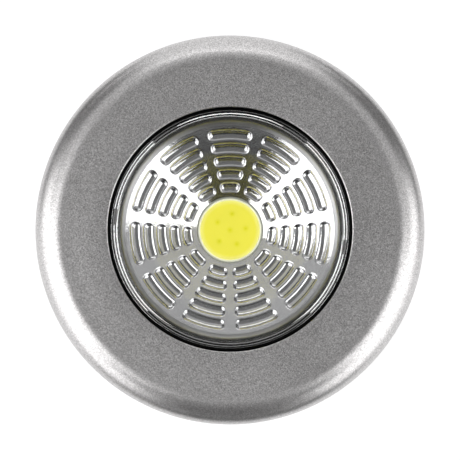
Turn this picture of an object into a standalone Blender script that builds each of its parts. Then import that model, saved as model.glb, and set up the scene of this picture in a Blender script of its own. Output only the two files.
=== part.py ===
# Battery push light, 70 mm across: painted ring, clear push lens over a grooved chrome dish,
# chip LED, latching switch, three AAA cells and a twist-lock back cover with a foam pad.
# Metres, +Z up. The light lies on its back, the lens looks up, the origin is under its centre.
# Blender 4.5.

import math

import bmesh
import bpy
from mathutils import Matrix, Vector

# Clearances
seat_gap = 0.0003        # between pieces that rest on each other
slide_gap = 0.0004       # round pieces that slide or turn in each other
bond_gap = 0.0001        # thickness of a glue or solder layer
cut_overrun = 0.0010     # how far a cutter reaches past the face that it opens
fuse_depth = 0.0002      # how far a fused shape reaches into its carrier

# Driving sizes: the cells set the battery bay, the springs and the switch stand beside it,
# and the lens and the ring are as wide as what stands under them.
press_travel = 0.0018
cell_radius = 0.00525    # AAA
cell_length = 0.0445
chip_radius = 0.00574    # outside of the dam
chip_to_lens = 0.0062    # from the chip's face to the underside of the lens

# Heights of the layers, from the back up
pad_thickness = 0.0008
cover_thickness = 0.0012
floor_thickness = 0.0014
cell_lift = 0.0004
roof_thickness = 0.0010
press_room = 0.0004      # left under the board when the lens is pressed
board_thickness = 0.0012
chip_height = 0.0006
lens_thickness = 0.0016
lens_dome = 0.0002
lens_inset = 0.0004      # edge of the lens below the lip of the ring

cover_bottom_z = pad_thickness + bond_gap
cover_top_z = cover_bottom_z + cover_thickness
floor_bottom_z = cover_top_z + seat_gap
floor_top_z = floor_bottom_z + floor_thickness
cell_axis_z = cover_top_z + cell_lift + cell_radius
roof_bottom_z = cell_axis_z + cell_radius + seat_gap
roof_top_z = roof_bottom_z + roof_thickness
board_bottom_z = roof_top_z + press_travel + press_room
board_top_z = board_bottom_z + board_thickness
chip_top_z = board_top_z + bond_gap + chip_height
lens_under_z = chip_top_z + chip_to_lens
lens_top_z = lens_under_z + lens_thickness
lip_z = lens_top_z + lens_inset

# Battery bay
bay_wall = 0.0010
cell_pitch = 2 * cell_radius + seat_gap
end_room = 0.0024        # at each end of a cell, for its contact
contact_thickness = 0.00035
bay_half_width = cell_pitch + cell_radius + slide_gap
bay_half_length = 0.5 * cell_length + end_room
bay_corner = 0.0015
bay_side_x = bay_half_width + bay_wall
bay_end_y = bay_half_length + bay_wall
rib_width = 0.0012
rib_depth = 0.0024
rib_end_room = 0.00565   # from the end of a rib to the end of the bay
rib_half_length = bay_half_length - rib_end_room

# Switch board, beside the bay
switch_side = 0.0070
resistor_length = 0.0032
resistor_width = 0.0016
resistor_height = 0.0006
resistor_room = 0.0005   # beside the resistor, between the switch and the board's edge
pcb_thickness = 0.0012
pcb_lift = 0.0008
pcb_half_width = 0.5 * switch_side + resistor_width + resistor_room
pcb_margin = 0.0025

# Springs under the carrier, in the corners between the bay and the switch board
spring_radius = 0.0018
spring_wire = 0.00045
spring_turns = 4
tower_edge = 0.0004
tower_board_gap = 0.0002
tower_radius = spring_radius + tower_edge
tower_height_share = 0.4
spring_x = bay_side_x + seat_gap + spring_radius
spring_y = pcb_half_width + tower_board_gap + tower_radius
spigot_radius = spring_radius - spring_wire - slide_gap
spigot_height = 0.0010
carrier_bottom_z = board_bottom_z + slide_gap
tower_top_z = floor_top_z + tower_height_share * (carrier_bottom_z - floor_top_z)

# Screws through the chassis floor
screw_pad_radius = 0.0032
screw_pad_height = 0.0012
screw_pad_edge = 0.0017  # from a pad to the edge of the chassis
screw_head_radius = 0.0021
screw_head_height = 0.0012
screw_shank_radius = 0.0010
screw_shank_length = 0.0090
screw_slot_width = 0.0006
screw_slot_depth = 0.0005
screw_seat_z = floor_bottom_z + seat_gap
screw_tip_z = screw_seat_z + screw_head_height + screw_shank_length
boss_bay_gap = 0.0012
boss_tower_gap = 0.0036
boss_x = bay_side_x + boss_bay_gap + screw_pad_radius
boss_y = spring_y + tower_radius + boss_tower_gap + screw_pad_radius

# Leads
lead_diameter = 0.0011
lead_room = 0.0008       # on each side of a lead that passes a corner of the bay
lane_width = lead_diameter + 2 * lead_room

# Ring: its wall clears the screw pads and leaves a lane at the bay's corners
shoulder_radius = 0.0048
wall_thickness = 0.0018
wall_draft = 0.0002      # how much the side wall leans in from its foot to the shoulder
crown_drop = 0.0004      # fall of the face from the lip to the shoulder
lip_fillet = 0.0003
rim_fillet = 0.0005
front_thickness = 0.0020
collar_wall = 0.0012
collar_bottom_z = board_bottom_z + slide_gap
key_width = 0.0018       # rib on the carrier that keeps it from turning
key_depth = 0.0012
key_length = 0.0040
boss_radius = 0.0025
pilot_radius = 0.00125
pilot_end_room = 0.0014  # pilot hole past the screw's point
bay_corner_radius = math.hypot(bay_side_x - bay_corner, bay_end_y)
screw_pad_reach = math.hypot(boss_x, boss_y) + screw_pad_radius + screw_pad_edge
inside_radius = max(screw_pad_reach + slide_gap, bay_corner_radius + lane_width)
body_radius = inside_radius + wall_thickness + wall_draft
chassis_radius = inside_radius - slide_gap

# Lens and carrier: the carrier's floor reaches past the springs
spring_cover = 0.00073   # carrier floor outside a spring's spigot
lens_gap = 0.00055       # between the lens and the lip of the ring
lens_edge_fillet = 0.00025
lens_step_width = 0.00063   # low step round the edge of the lens
lens_step_drop = 0.00022
lens_ring_inset = 0.0004    # from the step to the middle of the fine ring groove
lens_ring_width = 0.00016
lens_ring_depth = 0.0001
skirt_wall = 0.0009
flange_height = 0.0012
carrier_radius = math.hypot(spring_x, spring_y) + spigot_radius + spring_cover
flange_radius = carrier_radius
opening_radius = flange_radius - 0.5 * collar_wall - slide_gap
lens_radius = opening_radius - lens_gap
collar_inner_radius = flange_radius + slide_gap
collar_outer_radius = collar_inner_radius + collar_wall
front_under_z = lip_z - front_thickness
flange_top_z = front_under_z - seat_gap
flange_bottom_z = flange_top_z - flange_height
skirt_inner_radius = lens_radius - skirt_wall

# Reflector
dish_slope = math.radians(20.5)
dish_hole_gap = 0.0003
dish_wall = 0.0009
dish_lip = 0.0004        # thickness at the centre hole
dish_fillet = 0.0009     # where the cone turns up into the rim
dish_rim_wall = 0.0006
dish_rim_drop = 0.0004   # rim below the lens
dish_flange_height = 0.0008
dish_flange_width = 0.0012
groove_columns = 11
groove_rows = 5
groove_hole_land = 0.00083   # cone left inside the first row
groove_rim_land = 0.00085    # and outside the last
groove_bridge = 0.00046      # and between two rows
groove_depth = 0.0004
groove_skin = 0.0003         # left under a groove over a screw's hole
groove_half_angle = math.radians(13.0)
groove_end_flat = 0.00008

dish_hole_radius = chip_radius + dish_hole_gap
dish_rim_outer_radius = skirt_inner_radius - seat_gap
dish_rim_inner_radius = dish_rim_outer_radius - dish_rim_wall
dish_cone_radius = dish_rim_inner_radius - dish_fillet * (1 - math.sin(dish_slope))
dish_hole_z = board_top_z + seat_gap + dish_lip
dish_flange_top_z = flange_bottom_z - seat_gap
dish_flange_bottom_z = dish_flange_top_z - dish_flange_height
dish_flange_radius = dish_rim_outer_radius + dish_flange_width
groove_span = dish_cone_radius - groove_rim_land - dish_hole_radius - groove_hole_land
groove_width = (groove_span - (groove_rows - 1) * groove_bridge) / groove_rows
groove_pitch = groove_width + groove_bridge
groove_corner = 0.5 * groove_width - groove_end_flat
groove_drop = groove_depth / math.cos(dish_slope)

# Chip and board
dam_wall = 0.0003
board_radius = 0.0135
board_screw_edge = 0.0029    # from a screw's axis to the edge of the board
board_screw_circle_radius = board_radius - board_screw_edge
board_screw_shank_radius = 0.0009
board_screw_head_radius = 0.0017
board_screw_head_height = 0.0010
board_hole_radius = board_screw_shank_radius + 0.5 * slide_gap
board_boss_radius = 0.0018

# Carrier
carrier_wall = 0.0012
carrier_floor = 0.0010
carrier_floor_width = 0.0044
shelf_height = 0.0005
shelf_width = 0.0014
carrier_top_z = flange_bottom_z - seat_gap
carrier_floor_top_z = carrier_bottom_z + carrier_floor
shelf_top_z = dish_flange_bottom_z - seat_gap

# Twist-lock hooks of the cover
cover_radius = chassis_radius
hook_count = 4
hook_start_angle = math.radians(-10)
hook_half_angle = math.radians(6)
hook_tab_inset = math.radians(0.4)   # the tab is this much narrower than its post
hook_twist = math.radians(20)
hook_play_angle = math.radians(1)
hook_post_width = 0.0009
hook_reach = 0.0014
hook_edge = 0.0018       # chassis left outside a slot
hook_inner_radius = chassis_radius - hook_edge - seat_gap - hook_reach - hook_post_width
hook_tab_height = 0.0011
grip_count = 5
grip_edge = 0.0016
grip_length = 0.0050
grip_radius = cover_radius - grip_edge - 0.5 * grip_length
grip_width = 0.0008
grip_height = 0.0004
grip_pitch_angle = math.radians(4)
pad_grip_gap = 0.0030
pad_radius = grip_radius - 0.5 * grip_length - pad_grip_gap

# Switch
switch_height = 0.0066
switch_well = 0.0040
stem_side = 0.0032
stem_inside = 0.0030
stem_cap_radius = 0.0011
stem_cap_height = 0.0020
pin_radius = 0.00035
pin_pitch = 0.0025
pin_length = 0.0020
switch_x = bay_side_x + seat_gap + 0.5 * switch_side
pcb_min_x = switch_x - 0.5 * switch_side + 0.5 * seat_gap
pcb_max_x = switch_x + 0.5 * switch_side + pcb_margin
pcb_bottom_z = floor_top_z + pcb_lift
pcb_top_z = pcb_bottom_z + pcb_thickness
switch_bottom_z = pcb_top_z + seat_gap
switch_top_z = switch_bottom_z + switch_height
stem_top_z = carrier_bottom_z - seat_gap

# Contacts and leads
contact_side_edge = 0.00105  # from a contact's side to the side of its cell
contact_top_edge = 0.00085
contact_width = 2 * (cell_radius - contact_side_edge)
contact_height = 2 * (cell_radius - contact_top_edge)
contact_spring_base = 0.0032
contact_spring_tip = 0.0020
contact_spring_wire = 0.0006
contact_spring_turns = 3
contact_bump_radius = 0.0016
contact_bump_height = 0.0007
contact_clear = 0.0002
tab_width = 0.0024
tab_reach = 0.0030
tab_z = cell_axis_z + 0.5 * cell_radius
nub_radius = 0.0019
nub_height = 0.0010
cell_fillet = 0.0006
lead_notch_half = 0.0011
lead_y = 0.0048
lead_x = math.sqrt((carrier_radius - 0.5 * carrier_floor_width) ** 2 - lead_y ** 2)

# Facets
round_steps = 48
dish_steps = 33
small_steps = 16
tiny_steps = 10
arc_steps = 6
corner_steps = 2

# Colours as red, green, blue, then metallic and roughness
finishes = {
    "silver_paint": ((0.42, 0.42, 0.42), 0.7, 0.35),
    "clear_plastic": ((0.95, 0.96, 0.96), 0.0, 0.03),
    "chrome": ((0.82, 0.82, 0.83), 1.0, 0.06),
    "phosphor": ((0.86, 0.80, 0.06), 0.0, 0.45),
    "dam_white": ((0.85, 0.86, 0.72), 0.0, 0.4),
    "aluminium": ((0.72, 0.73, 0.74), 1.0, 0.4),
    "black_plastic": ((0.02, 0.02, 0.022), 0.0, 0.45),
    "white_plastic": ((0.7, 0.7, 0.68), 0.0, 0.45),
    "steel": ((0.55, 0.55, 0.55), 1.0, 0.3),
    "nickel": ((0.66, 0.63, 0.58), 1.0, 0.25),
    "cell_sleeve": ((0.08, 0.09, 0.10), 0.3, 0.35),
    "foam": ((0.78, 0.78, 0.76), 0.0, 0.9),
    "board_green": ((0.02, 0.16, 0.06), 0.0, 0.4),
    "red_sheath": ((0.55, 0.02, 0.02), 0.0, 0.45),
    "black_sheath": ((0.015, 0.015, 0.015), 0.0, 0.45),
    "resistor_black": ((0.03, 0.03, 0.03), 0.0, 0.35),
}


def clear_scene():
    for obj in list(bpy.data.objects):
        bpy.data.objects.remove(obj, do_unlink=True)
    for collection in list(bpy.data.collections):
        bpy.data.collections.remove(collection)


clear_scene()
parts = bpy.data.collections.new("puck_light")
cutters = bpy.data.collections.new("cutters")
cutters.hide_render = True
bpy.context.scene.collection.children.link(parts)
bpy.context.scene.collection.children.link(cutters)


def finish_of(name):
    material = bpy.data.materials.get(name)
    if material is None:
        colour, metallic, roughness = finishes[name]
        material = bpy.data.materials.new(name)
        material.use_nodes = True
        shader = material.node_tree.nodes["Principled BSDF"]
        shader.inputs["Base Color"].default_value = (*colour, 1)
        shader.inputs["Metallic"].default_value = metallic
        shader.inputs["Roughness"].default_value = roughness
    return material


def new_object(name, data, finish=None, parent=None):
    """An object in the parts if it has a finish, and a cutter or helper if it has none."""
    obj = bpy.data.objects.new(name, data)
    if finish:
        parts.objects.link(obj)
        data.materials.append(finish_of(finish))
    else:
        cutters.objects.link(obj)
        obj.hide_render = True
        obj.display_type = "WIRE"
    if parent:
        obj.parent = parent
        obj.matrix_parent_inverse = parent.matrix_world.inverted()
    return obj


def carrier_empty(name, location):
    """An empty on a joint's axis, which its moving pieces are parented to."""
    empty = bpy.data.objects.new(name, None)
    empty.location = location
    parts.objects.link(empty)
    bpy.context.view_layer.update()
    return empty


def arc(centre, radius, start, end, steps=arc_steps):
    """Points on an arc in the profile plane, angles from +X towards +Z."""
    turn = (end - start) / steps
    angles = [start + turn * i for i in range(steps + 1)]
    return [(centre[0] + radius * math.cos(a), centre[1] + radius * math.sin(a)) for a in angles]


def turned(name, profile, finish=None, parent=None, steps=round_steps):
    """Turns a closed profile of (radius, height) points about Z. The points run clockwise."""
    mesh = bpy.data.meshes.new(name)
    points = [(r, 0, z) for r, z in profile]
    edges = [(i, (i + 1) % len(points)) for i in range(len(points))]
    on_axis = [i for i, (r, _) in enumerate(profile) if r == 0]
    if len(on_axis) == 2:
        edges = [edge for edge in edges if not set(edge) <= set(on_axis)]
    mesh.from_pydata(points, edges, [])
    obj = new_object(name, mesh, finish, parent)
    screw = obj.modifiers.new("turn", "SCREW")
    screw.axis = "Z"
    screw.angle = 2 * math.pi
    screw.steps = steps
    screw.render_steps = steps
    screw.use_merge_vertices = True
    screw.merge_threshold = 0.000001
    screw.use_smooth_shade = True
    return obj


def box(name, low, high, finish=None, parent=None):
    bm = bmesh.new()
    bmesh.ops.create_cube(bm, size=1)
    size = Vector(high) - Vector(low)
    middle = (Vector(high) + Vector(low)) / 2
    bmesh.ops.scale(bm, vec=size, verts=bm.verts)
    bmesh.ops.translate(bm, vec=middle, verts=bm.verts)
    mesh = bpy.data.meshes.new(name)
    bm.to_mesh(mesh)
    bm.free()
    return new_object(name, mesh, finish, parent)


def rod(name, centre, radius, low_z, high_z, finish=None, parent=None, steps=small_steps):
    """An upright cylinder."""
    bm = bmesh.new()
    bmesh.ops.create_cone(
        bm,
        cap_ends=True,
        segments=steps,
        radius1=radius,
        radius2=radius,
        depth=high_z - low_z,
    )
    middle = Vector((centre[0], centre[1], (low_z + high_z) / 2))
    bmesh.ops.translate(bm, vec=middle, verts=bm.verts)
    mesh = bpy.data.meshes.new(name)
    bm.to_mesh(mesh)
    bm.free()
    return new_object(name, mesh, finish, parent)


def plates(name, outlines, low_z, high_z, finish=None, parent=None):
    """Flat plates from closed outlines of (x, y) points, all in one mesh."""
    curve = bpy.data.curves.new(name, "CURVE")
    curve.dimensions = "2D"
    curve.fill_mode = "BOTH"
    curve.extrude = (high_z - low_z) / 2
    for outline in outlines:
        spline = curve.splines.new("POLY")
        spline.points.add(len(outline) - 1)
        for point, (x, y) in zip(spline.points, outline):
            point.co = (x, y, 0, 1)
        spline.use_cyclic_u = True
    return mesh_from_curve(name, curve, (low_z + high_z) / 2, finish, parent)


def tube(name, points, radius, finish=None, parent=None, resolution=2):
    """A round wire along the points, with closed ends."""
    curve = bpy.data.curves.new(name, "CURVE")
    curve.dimensions = "3D"
    curve.bevel_depth = radius
    curve.bevel_resolution = resolution
    curve.use_fill_caps = True
    spline = curve.splines.new("POLY")
    spline.points.add(len(points) - 1)
    for point, place in zip(spline.points, points):
        point.co = (*place, 1)
    return mesh_from_curve(name, curve, 0, finish, parent)


def mesh_from_curve(name, curve, lift, finish, parent):
    source = bpy.data.objects.new(name + "_curve", curve)
    cutters.objects.link(source)
    graph = bpy.context.evaluated_depsgraph_get()
    mesh = bpy.data.meshes.new_from_object(source.evaluated_get(graph))
    bpy.data.objects.remove(source, do_unlink=True)
    bpy.data.curves.remove(curve)
    bm = bmesh.new()
    bm.from_mesh(mesh)
    bmesh.ops.remove_doubles(bm, verts=bm.verts, dist=0.000001)
    bmesh.ops.recalc_face_normals(bm, faces=bm.faces)
    bmesh.ops.translate(bm, vec=(0, 0, lift), verts=bm.verts)
    bm.to_mesh(mesh)
    bm.free()
    mesh.name = name
    mesh.materials.clear()
    return new_object(name, mesh, finish, parent)


def combine(target, other, operation):
    modifier = target.modifiers.new(other.name, "BOOLEAN")
    modifier.operation = operation
    modifier.solver = "EXACT"
    modifier.object = other


def fuse(target, other):
    combine(target, other, "UNION")


def cut(target, other):
    combine(target, other, "DIFFERENCE")


def shade_round(obj, sharp_angle=math.radians(35)):
    obj.data.shade_smooth()
    obj.data.set_sharp_from_angle(angle=sharp_angle)


def boss_places():
    return [(boss_x, boss_y), (-boss_x, boss_y), (-boss_x, -boss_y), (boss_x, -boss_y)]


def on_circle(radius, angle):
    return (radius * math.cos(angle), radius * math.sin(angle))


def sector(inner, outer, start, end, corner=0, steps=arc_steps):
    """The outline of a stretch of a ring, with rounded corners if it has any."""
    outline = []
    if corner == 0:
        outline += arc((0, 0), outer, start, end, steps)
        outline += arc((0, 0), inner, end, start, steps)
        return outline
    out_turn = math.asin(corner / (outer - corner))
    in_turn = math.asin(corner / (inner + corner))
    out_low = on_circle(outer - corner, start + out_turn)
    out_high = on_circle(outer - corner, end - out_turn)
    in_low = on_circle(inner + corner, start + in_turn)
    in_high = on_circle(inner + corner, end - in_turn)
    quarter = math.pi / 2
    outline += arc((0, 0), outer, start + out_turn, end - out_turn, steps)
    outline += arc(out_high, corner, end - out_turn, end + quarter, corner_steps)[1:]
    outline += arc(in_high, corner, end + quarter, end - in_turn + 2 * quarter, corner_steps)
    outline += arc((0, 0), inner, end - in_turn, start + in_turn, steps)[1:]
    outline += arc(in_low, corner, start + in_turn + 2 * quarter, start + 3 * quarter,
                   corner_steps)[1:]
    outline += arc(out_low, corner, start - quarter, start + out_turn, corner_steps)[:-1]
    return outline


push_empty = carrier_empty("push_axis", (0, 0, lens_under_z))
stem_empty = carrier_empty("stem_axis", (switch_x, 0, switch_top_z))
cover_empty = carrier_empty("cover_axis", (0, 0, cover_top_z))


def make_bezel():
    foot_z = cover_bottom_z
    top_radius = body_radius - wall_draft
    shoulder_centre = (top_radius - shoulder_radius, lip_z - crown_drop - shoulder_radius)
    inside = shoulder_radius - wall_thickness
    lip_centre = (opening_radius + lip_fillet, lip_z - lip_fillet)
    foot_centre = (body_radius - rim_fillet, foot_z + rim_fillet)
    inner_centre_z = front_under_z - inside
    quarter = math.pi / 2
    crown_steps = 2
    profile = arc(lip_centre, lip_fillet, 2 * quarter, quarter, 2)
    crown_run = shoulder_centre[0] - lip_centre[0]
    for i in range(1, crown_steps):
        share = i / crown_steps
        profile.append((lip_centre[0] + crown_run * share, lip_z - crown_drop * share * share))
    profile += arc(shoulder_centre, shoulder_radius, quarter, 0, 7)
    profile += arc(foot_centre, rim_fillet, 0, -quarter, 1)
    inner_foot_radius = body_radius - wall_thickness
    inner_top_radius = top_radius - wall_thickness
    profile.append((inner_foot_radius, foot_z))
    profile += arc((inner_top_radius - inside, inner_centre_z), inside, 0, quarter, 2)
    profile.append((collar_outer_radius, front_under_z))
    profile.append((collar_outer_radius, collar_bottom_z))
    profile.append((collar_inner_radius, collar_bottom_z))
    profile.append((collar_inner_radius, front_under_z))
    profile.append((opening_radius, front_under_z))
    bezel = turned("front_bezel", profile, "silver_paint")
    boss_bottom_z = floor_top_z + screw_pad_height + seat_gap
    for i, place in enumerate(boss_places()):
        boss = rod(f"boss_{i}", place, boss_radius, boss_bottom_z, front_under_z + fuse_depth)
        fuse(bezel, boss)
    for i, place in enumerate(boss_places()):
        low_z = boss_bottom_z - cut_overrun
        high_z = screw_tip_z + pilot_end_room
        cut(bezel, rod(f"pilot_{i}", place, pilot_radius, low_z, high_z, steps=tiny_steps))
    half = 0.5 * key_width + slide_gap
    key_slot = box(
        "key_slot",
        (-collar_outer_radius - fuse_depth, -half, collar_bottom_z - cut_overrun),
        (-collar_inner_radius + fuse_depth, half, carrier_bottom_z + key_length + slide_gap),
    )
    cut(bezel, key_slot)
    return bezel


def make_lens():
    step_radius = lens_radius - lens_step_width
    step_z = lens_top_z - lens_step_drop
    ring_middle = step_radius - lens_ring_inset
    edge_centre = (lens_radius - lens_edge_fillet, step_z - lens_edge_fillet)

    def dome_z(radius):
        return lens_top_z + lens_dome * (1 - (radius / step_radius) ** 2)
    profile = []
    for radius in (0, 0.5 * step_radius, ring_middle - 0.5 * lens_ring_width):
        profile.append((radius, dome_z(radius)))
    profile.append((ring_middle, dome_z(ring_middle) - lens_ring_depth))
    profile.append((ring_middle + 0.5 * lens_ring_width, dome_z(ring_middle)))
    profile.append((step_radius, lens_top_z))
    profile.append((step_radius, step_z))
    profile += arc(edge_centre, lens_edge_fillet, math.pi / 2, 0, 2)
    profile.append((lens_radius, flange_top_z))
    profile.append((flange_radius, flange_top_z))
    profile.append((flange_radius, flange_bottom_z))
    profile.append((skirt_inner_radius, flange_bottom_z))
    profile.append((skirt_inner_radius, lens_under_z))
    profile.append((0, lens_under_z))
    return turned("lens", profile, "clear_plastic", push_empty)


def dish_cone_z(radius):
    return dish_hole_z + (radius - dish_hole_radius) * math.tan(dish_slope)


def make_reflector():
    """The chromed dish: a cone that turns up into a rim, with arc grooves in rows and columns."""
    wall_drop = dish_wall / math.cos(dish_slope)
    rim_top_z = lens_under_z - dish_rim_drop
    fillet_z = dish_cone_z(dish_cone_radius) + dish_fillet * math.cos(dish_slope)
    profile = [(dish_hole_radius, dish_hole_z)]
    fillet_centre = (dish_rim_inner_radius - dish_fillet, fillet_z)
    profile += arc(fillet_centre, dish_fillet, dish_slope - math.pi / 2, 0, 3)
    profile.append((dish_rim_inner_radius, rim_top_z))
    profile.append((dish_rim_outer_radius, rim_top_z))
    profile.append((dish_rim_outer_radius, dish_flange_top_z))
    profile.append((dish_flange_radius, dish_flange_top_z))
    profile.append((dish_flange_radius, dish_flange_bottom_z))
    under_radius = dish_hole_radius + (wall_drop - dish_lip) / math.tan(dish_slope)
    meet_radius = dish_hole_radius + (dish_flange_bottom_z + wall_drop - dish_hole_z) / math.tan(dish_slope)
    profile.append((meet_radius, dish_flange_bottom_z))
    profile.append((under_radius, dish_hole_z - dish_lip))
    profile.append((dish_hole_radius, dish_hole_z - dish_lip))
    reflector = turned("reflector", profile, "chrome", push_empty, dish_steps)
    boss_top_z = dish_cone_z(board_screw_circle_radius - board_boss_radius) - wall_drop + fuse_depth
    for i, place in enumerate(board_screw_places()):
        boss = rod(f"board_boss_{i}", place, board_boss_radius, board_top_z + seat_gap, boss_top_z)
        fuse(reflector, boss)
        cut(reflector, rod(f"board_pilot_{i}", place, board_hole_radius,
                           board_top_z - cut_overrun, board_pilot_top_z(), steps=tiny_steps))
    outlines = []
    for column in range(groove_columns):
        middle = math.pi / 2 + 2 * math.pi * column / groove_columns
        start = middle - groove_half_angle
        for row in range(groove_rows):
            inner = dish_hole_radius + groove_hole_land + groove_pitch * row
            outline = sector(inner, inner + groove_width, start, start + 2 * groove_half_angle,
                             groove_corner, 3)
            outlines.append(outline)
    prisms = plates("groove_prisms", outlines, dish_hole_z - dish_lip, lens_under_z)
    low_radius = dish_hole_radius - cut_overrun
    high_radius = dish_rim_inner_radius
    upper_z = lens_under_z + cut_overrun
    depth_profile = [
        (low_radius, upper_z),
        (high_radius, upper_z),
        (high_radius, dish_cone_z(high_radius) - groove_drop),
        (low_radius, dish_cone_z(low_radius) - groove_drop),
    ]
    depth_cone = turned("groove_floor", depth_profile, steps=dish_steps)
    combine(prisms, depth_cone, "INTERSECT")
    cut(reflector, prisms)
    return reflector


def board_screw_places():
    # The screws stand over the gaps between the cells, where their heads have room.
    x = 0.5 * cell_pitch
    y = math.sqrt(board_screw_circle_radius ** 2 - x ** 2)
    return [(x, y), (-x, -y)]


def board_pilot_top_z():
    """As high as the skin under a groove allows."""
    near_radius = board_screw_circle_radius - board_hole_radius
    return dish_cone_z(near_radius) - groove_drop - groove_skin


def make_chip():
    dam_inner = chip_radius - dam_wall
    low_z = board_top_z + bond_gap
    fill_drop = 0.5 * bond_gap
    dam_profile = [
        (dam_inner, chip_top_z),
        (chip_radius, chip_top_z),
        (chip_radius, low_z),
        (dam_inner, low_z),
    ]
    turned("chip_dam", dam_profile, "dam_white", push_empty, dish_steps)
    fill_radius = dam_inner - bond_gap
    fill_profile = [
        (0, chip_top_z - fill_drop),
        (fill_radius, chip_top_z - fill_drop),
        (fill_radius, low_z),
        (0, low_z),
    ]
    turned("chip_phosphor", fill_profile, "phosphor", push_empty, dish_steps)


def make_led_board():
    board = rod("led_board", (0, 0), board_radius, board_bottom_z, board_top_z,
                "aluminium", push_empty, round_steps)
    for i, place in enumerate(board_screw_places()):
        hole = rod(f"board_hole_{i}", place, board_hole_radius,
                   board_bottom_z - cut_overrun, board_top_z + cut_overrun, steps=tiny_steps)
        cut(board, hole)


def make_carrier():
    wall_inner = carrier_radius - carrier_wall
    floor_inner = carrier_radius - carrier_floor_width
    shelf_inner = wall_inner - shelf_width
    profile = [
        (wall_inner, carrier_top_z),
        (carrier_radius, carrier_top_z),
        (carrier_radius, carrier_bottom_z),
        (floor_inner, carrier_bottom_z),
        (floor_inner, carrier_floor_top_z),
        (wall_inner, carrier_floor_top_z),
        (wall_inner, shelf_top_z - shelf_height - shelf_width),
        (shelf_inner, shelf_top_z - shelf_height),
        (shelf_inner, shelf_top_z),
        (wall_inner, shelf_top_z),
    ]
    carrier = turned("push_carrier", profile, "black_plastic", push_empty)
    key = box(
        "carrier_key",
        (-carrier_radius - key_depth, -0.5 * key_width, carrier_bottom_z),
        (-carrier_radius + fuse_depth, 0.5 * key_width, carrier_bottom_z + key_length),
    )
    fuse(carrier, key)
    for i, place in enumerate(spring_places()):
        spigot = rod(f"carrier_spigot_{i}", place, spigot_radius, carrier_bottom_z - spigot_height,
                     carrier_bottom_z + fuse_depth, steps=tiny_steps)
        fuse(carrier, spigot)
    for i, side in enumerate((1, -1)):
        notch = box(
            f"lead_notch_{i}",
            (floor_inner - cut_overrun, side * lead_y - lead_notch_half,
             carrier_bottom_z - cut_overrun),
            (lead_x + lead_notch_half, side * lead_y + lead_notch_half,
             carrier_floor_top_z + cut_overrun),
        )
        cut(carrier, notch)


def screw(name, place, head_bottom_z, head, shank, shank_length, parent=None):
    """A screw that goes in from below: head, shank and a short point."""
    head_radius, head_height = head
    neck_z = head_bottom_z + head_height
    tip_z = neck_z + shank_length
    dome = 0.3 * head_height
    profile = [
        (0, tip_z),
        (0.4 * shank, tip_z),
        (shank, tip_z - shank),
        (shank, neck_z),
        (head_radius, neck_z),
        (head_radius, head_bottom_z + dome),
        (head_radius - dome, head_bottom_z),
        (0, head_bottom_z),
    ]
    obj = turned(name, profile, "steel", parent, tiny_steps)
    obj.data.transform(Matrix.Translation((0, 0, -head_bottom_z)))
    obj.location = (place[0], place[1], head_bottom_z)
    if parent:
        obj.matrix_parent_inverse = parent.matrix_world.inverted()
    return obj


def make_screws():
    for i, place in enumerate(boss_places()):
        obj = screw(f"chassis_screw_{i + 1}", place, screw_seat_z,
                    (screw_head_radius, screw_head_height), screw_shank_radius, screw_shank_length)
        slot = box(
            f"screw_slot_{i}",
            (place[0] - screw_head_radius, place[1] - screw_slot_width / 2,
             screw_seat_z - cut_overrun),
            (place[0] + screw_head_radius, place[1] + screw_slot_width / 2,
             screw_seat_z + screw_slot_depth),
        )
        cut(obj, slot)
    for i, place in enumerate(board_screw_places()):
        neck_z = board_bottom_z - seat_gap
        shank_length = board_pilot_top_z() - seat_gap - neck_z
        screw(f"board_screw_{i + 1}", place, neck_z - board_screw_head_height,
              (board_screw_head_radius, board_screw_head_height),
              board_screw_shank_radius, shank_length, push_empty)


def spring_places():
    return [(sx * spring_x, sy * spring_y) for sx in (1, -1) for sy in (1, -1)]


def helix(centre, low_z, high_z, start_radius, end_radius, turns, points_a_turn=8):
    count = turns * points_a_turn
    points = []
    for i in range(count + 1):
        share = i / count
        radius = start_radius + (end_radius - start_radius) * share
        x, y = on_circle(radius, 2 * math.pi * turns * share)
        points.append((centre[0] + x, centre[1] + y, low_z + (high_z - low_z) * share))
    return points


def make_return_springs():
    half_wire = 0.5 * spring_wire
    low_z = tower_top_z + seat_gap + half_wire
    high_z = carrier_bottom_z - seat_gap - half_wire
    for i, place in enumerate(spring_places()):
        mean = spring_radius - half_wire
        points = helix(place, low_z, high_z, mean, mean, spring_turns)
        tube(f"return_spring_{i + 1}", points, half_wire, "steel", push_empty, 1)


def bay_outline(half_width, half_length, corner):
    return [
        (half_width, half_length - corner),
        (half_width - corner, half_length),
        (-half_width + corner, half_length),
        (-half_width, half_length - corner),
        (-half_width, -half_length + corner),
        (-half_width + corner, -half_length),
        (half_width - corner, -half_length),
        (half_width, -half_length + corner),
    ]


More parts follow.
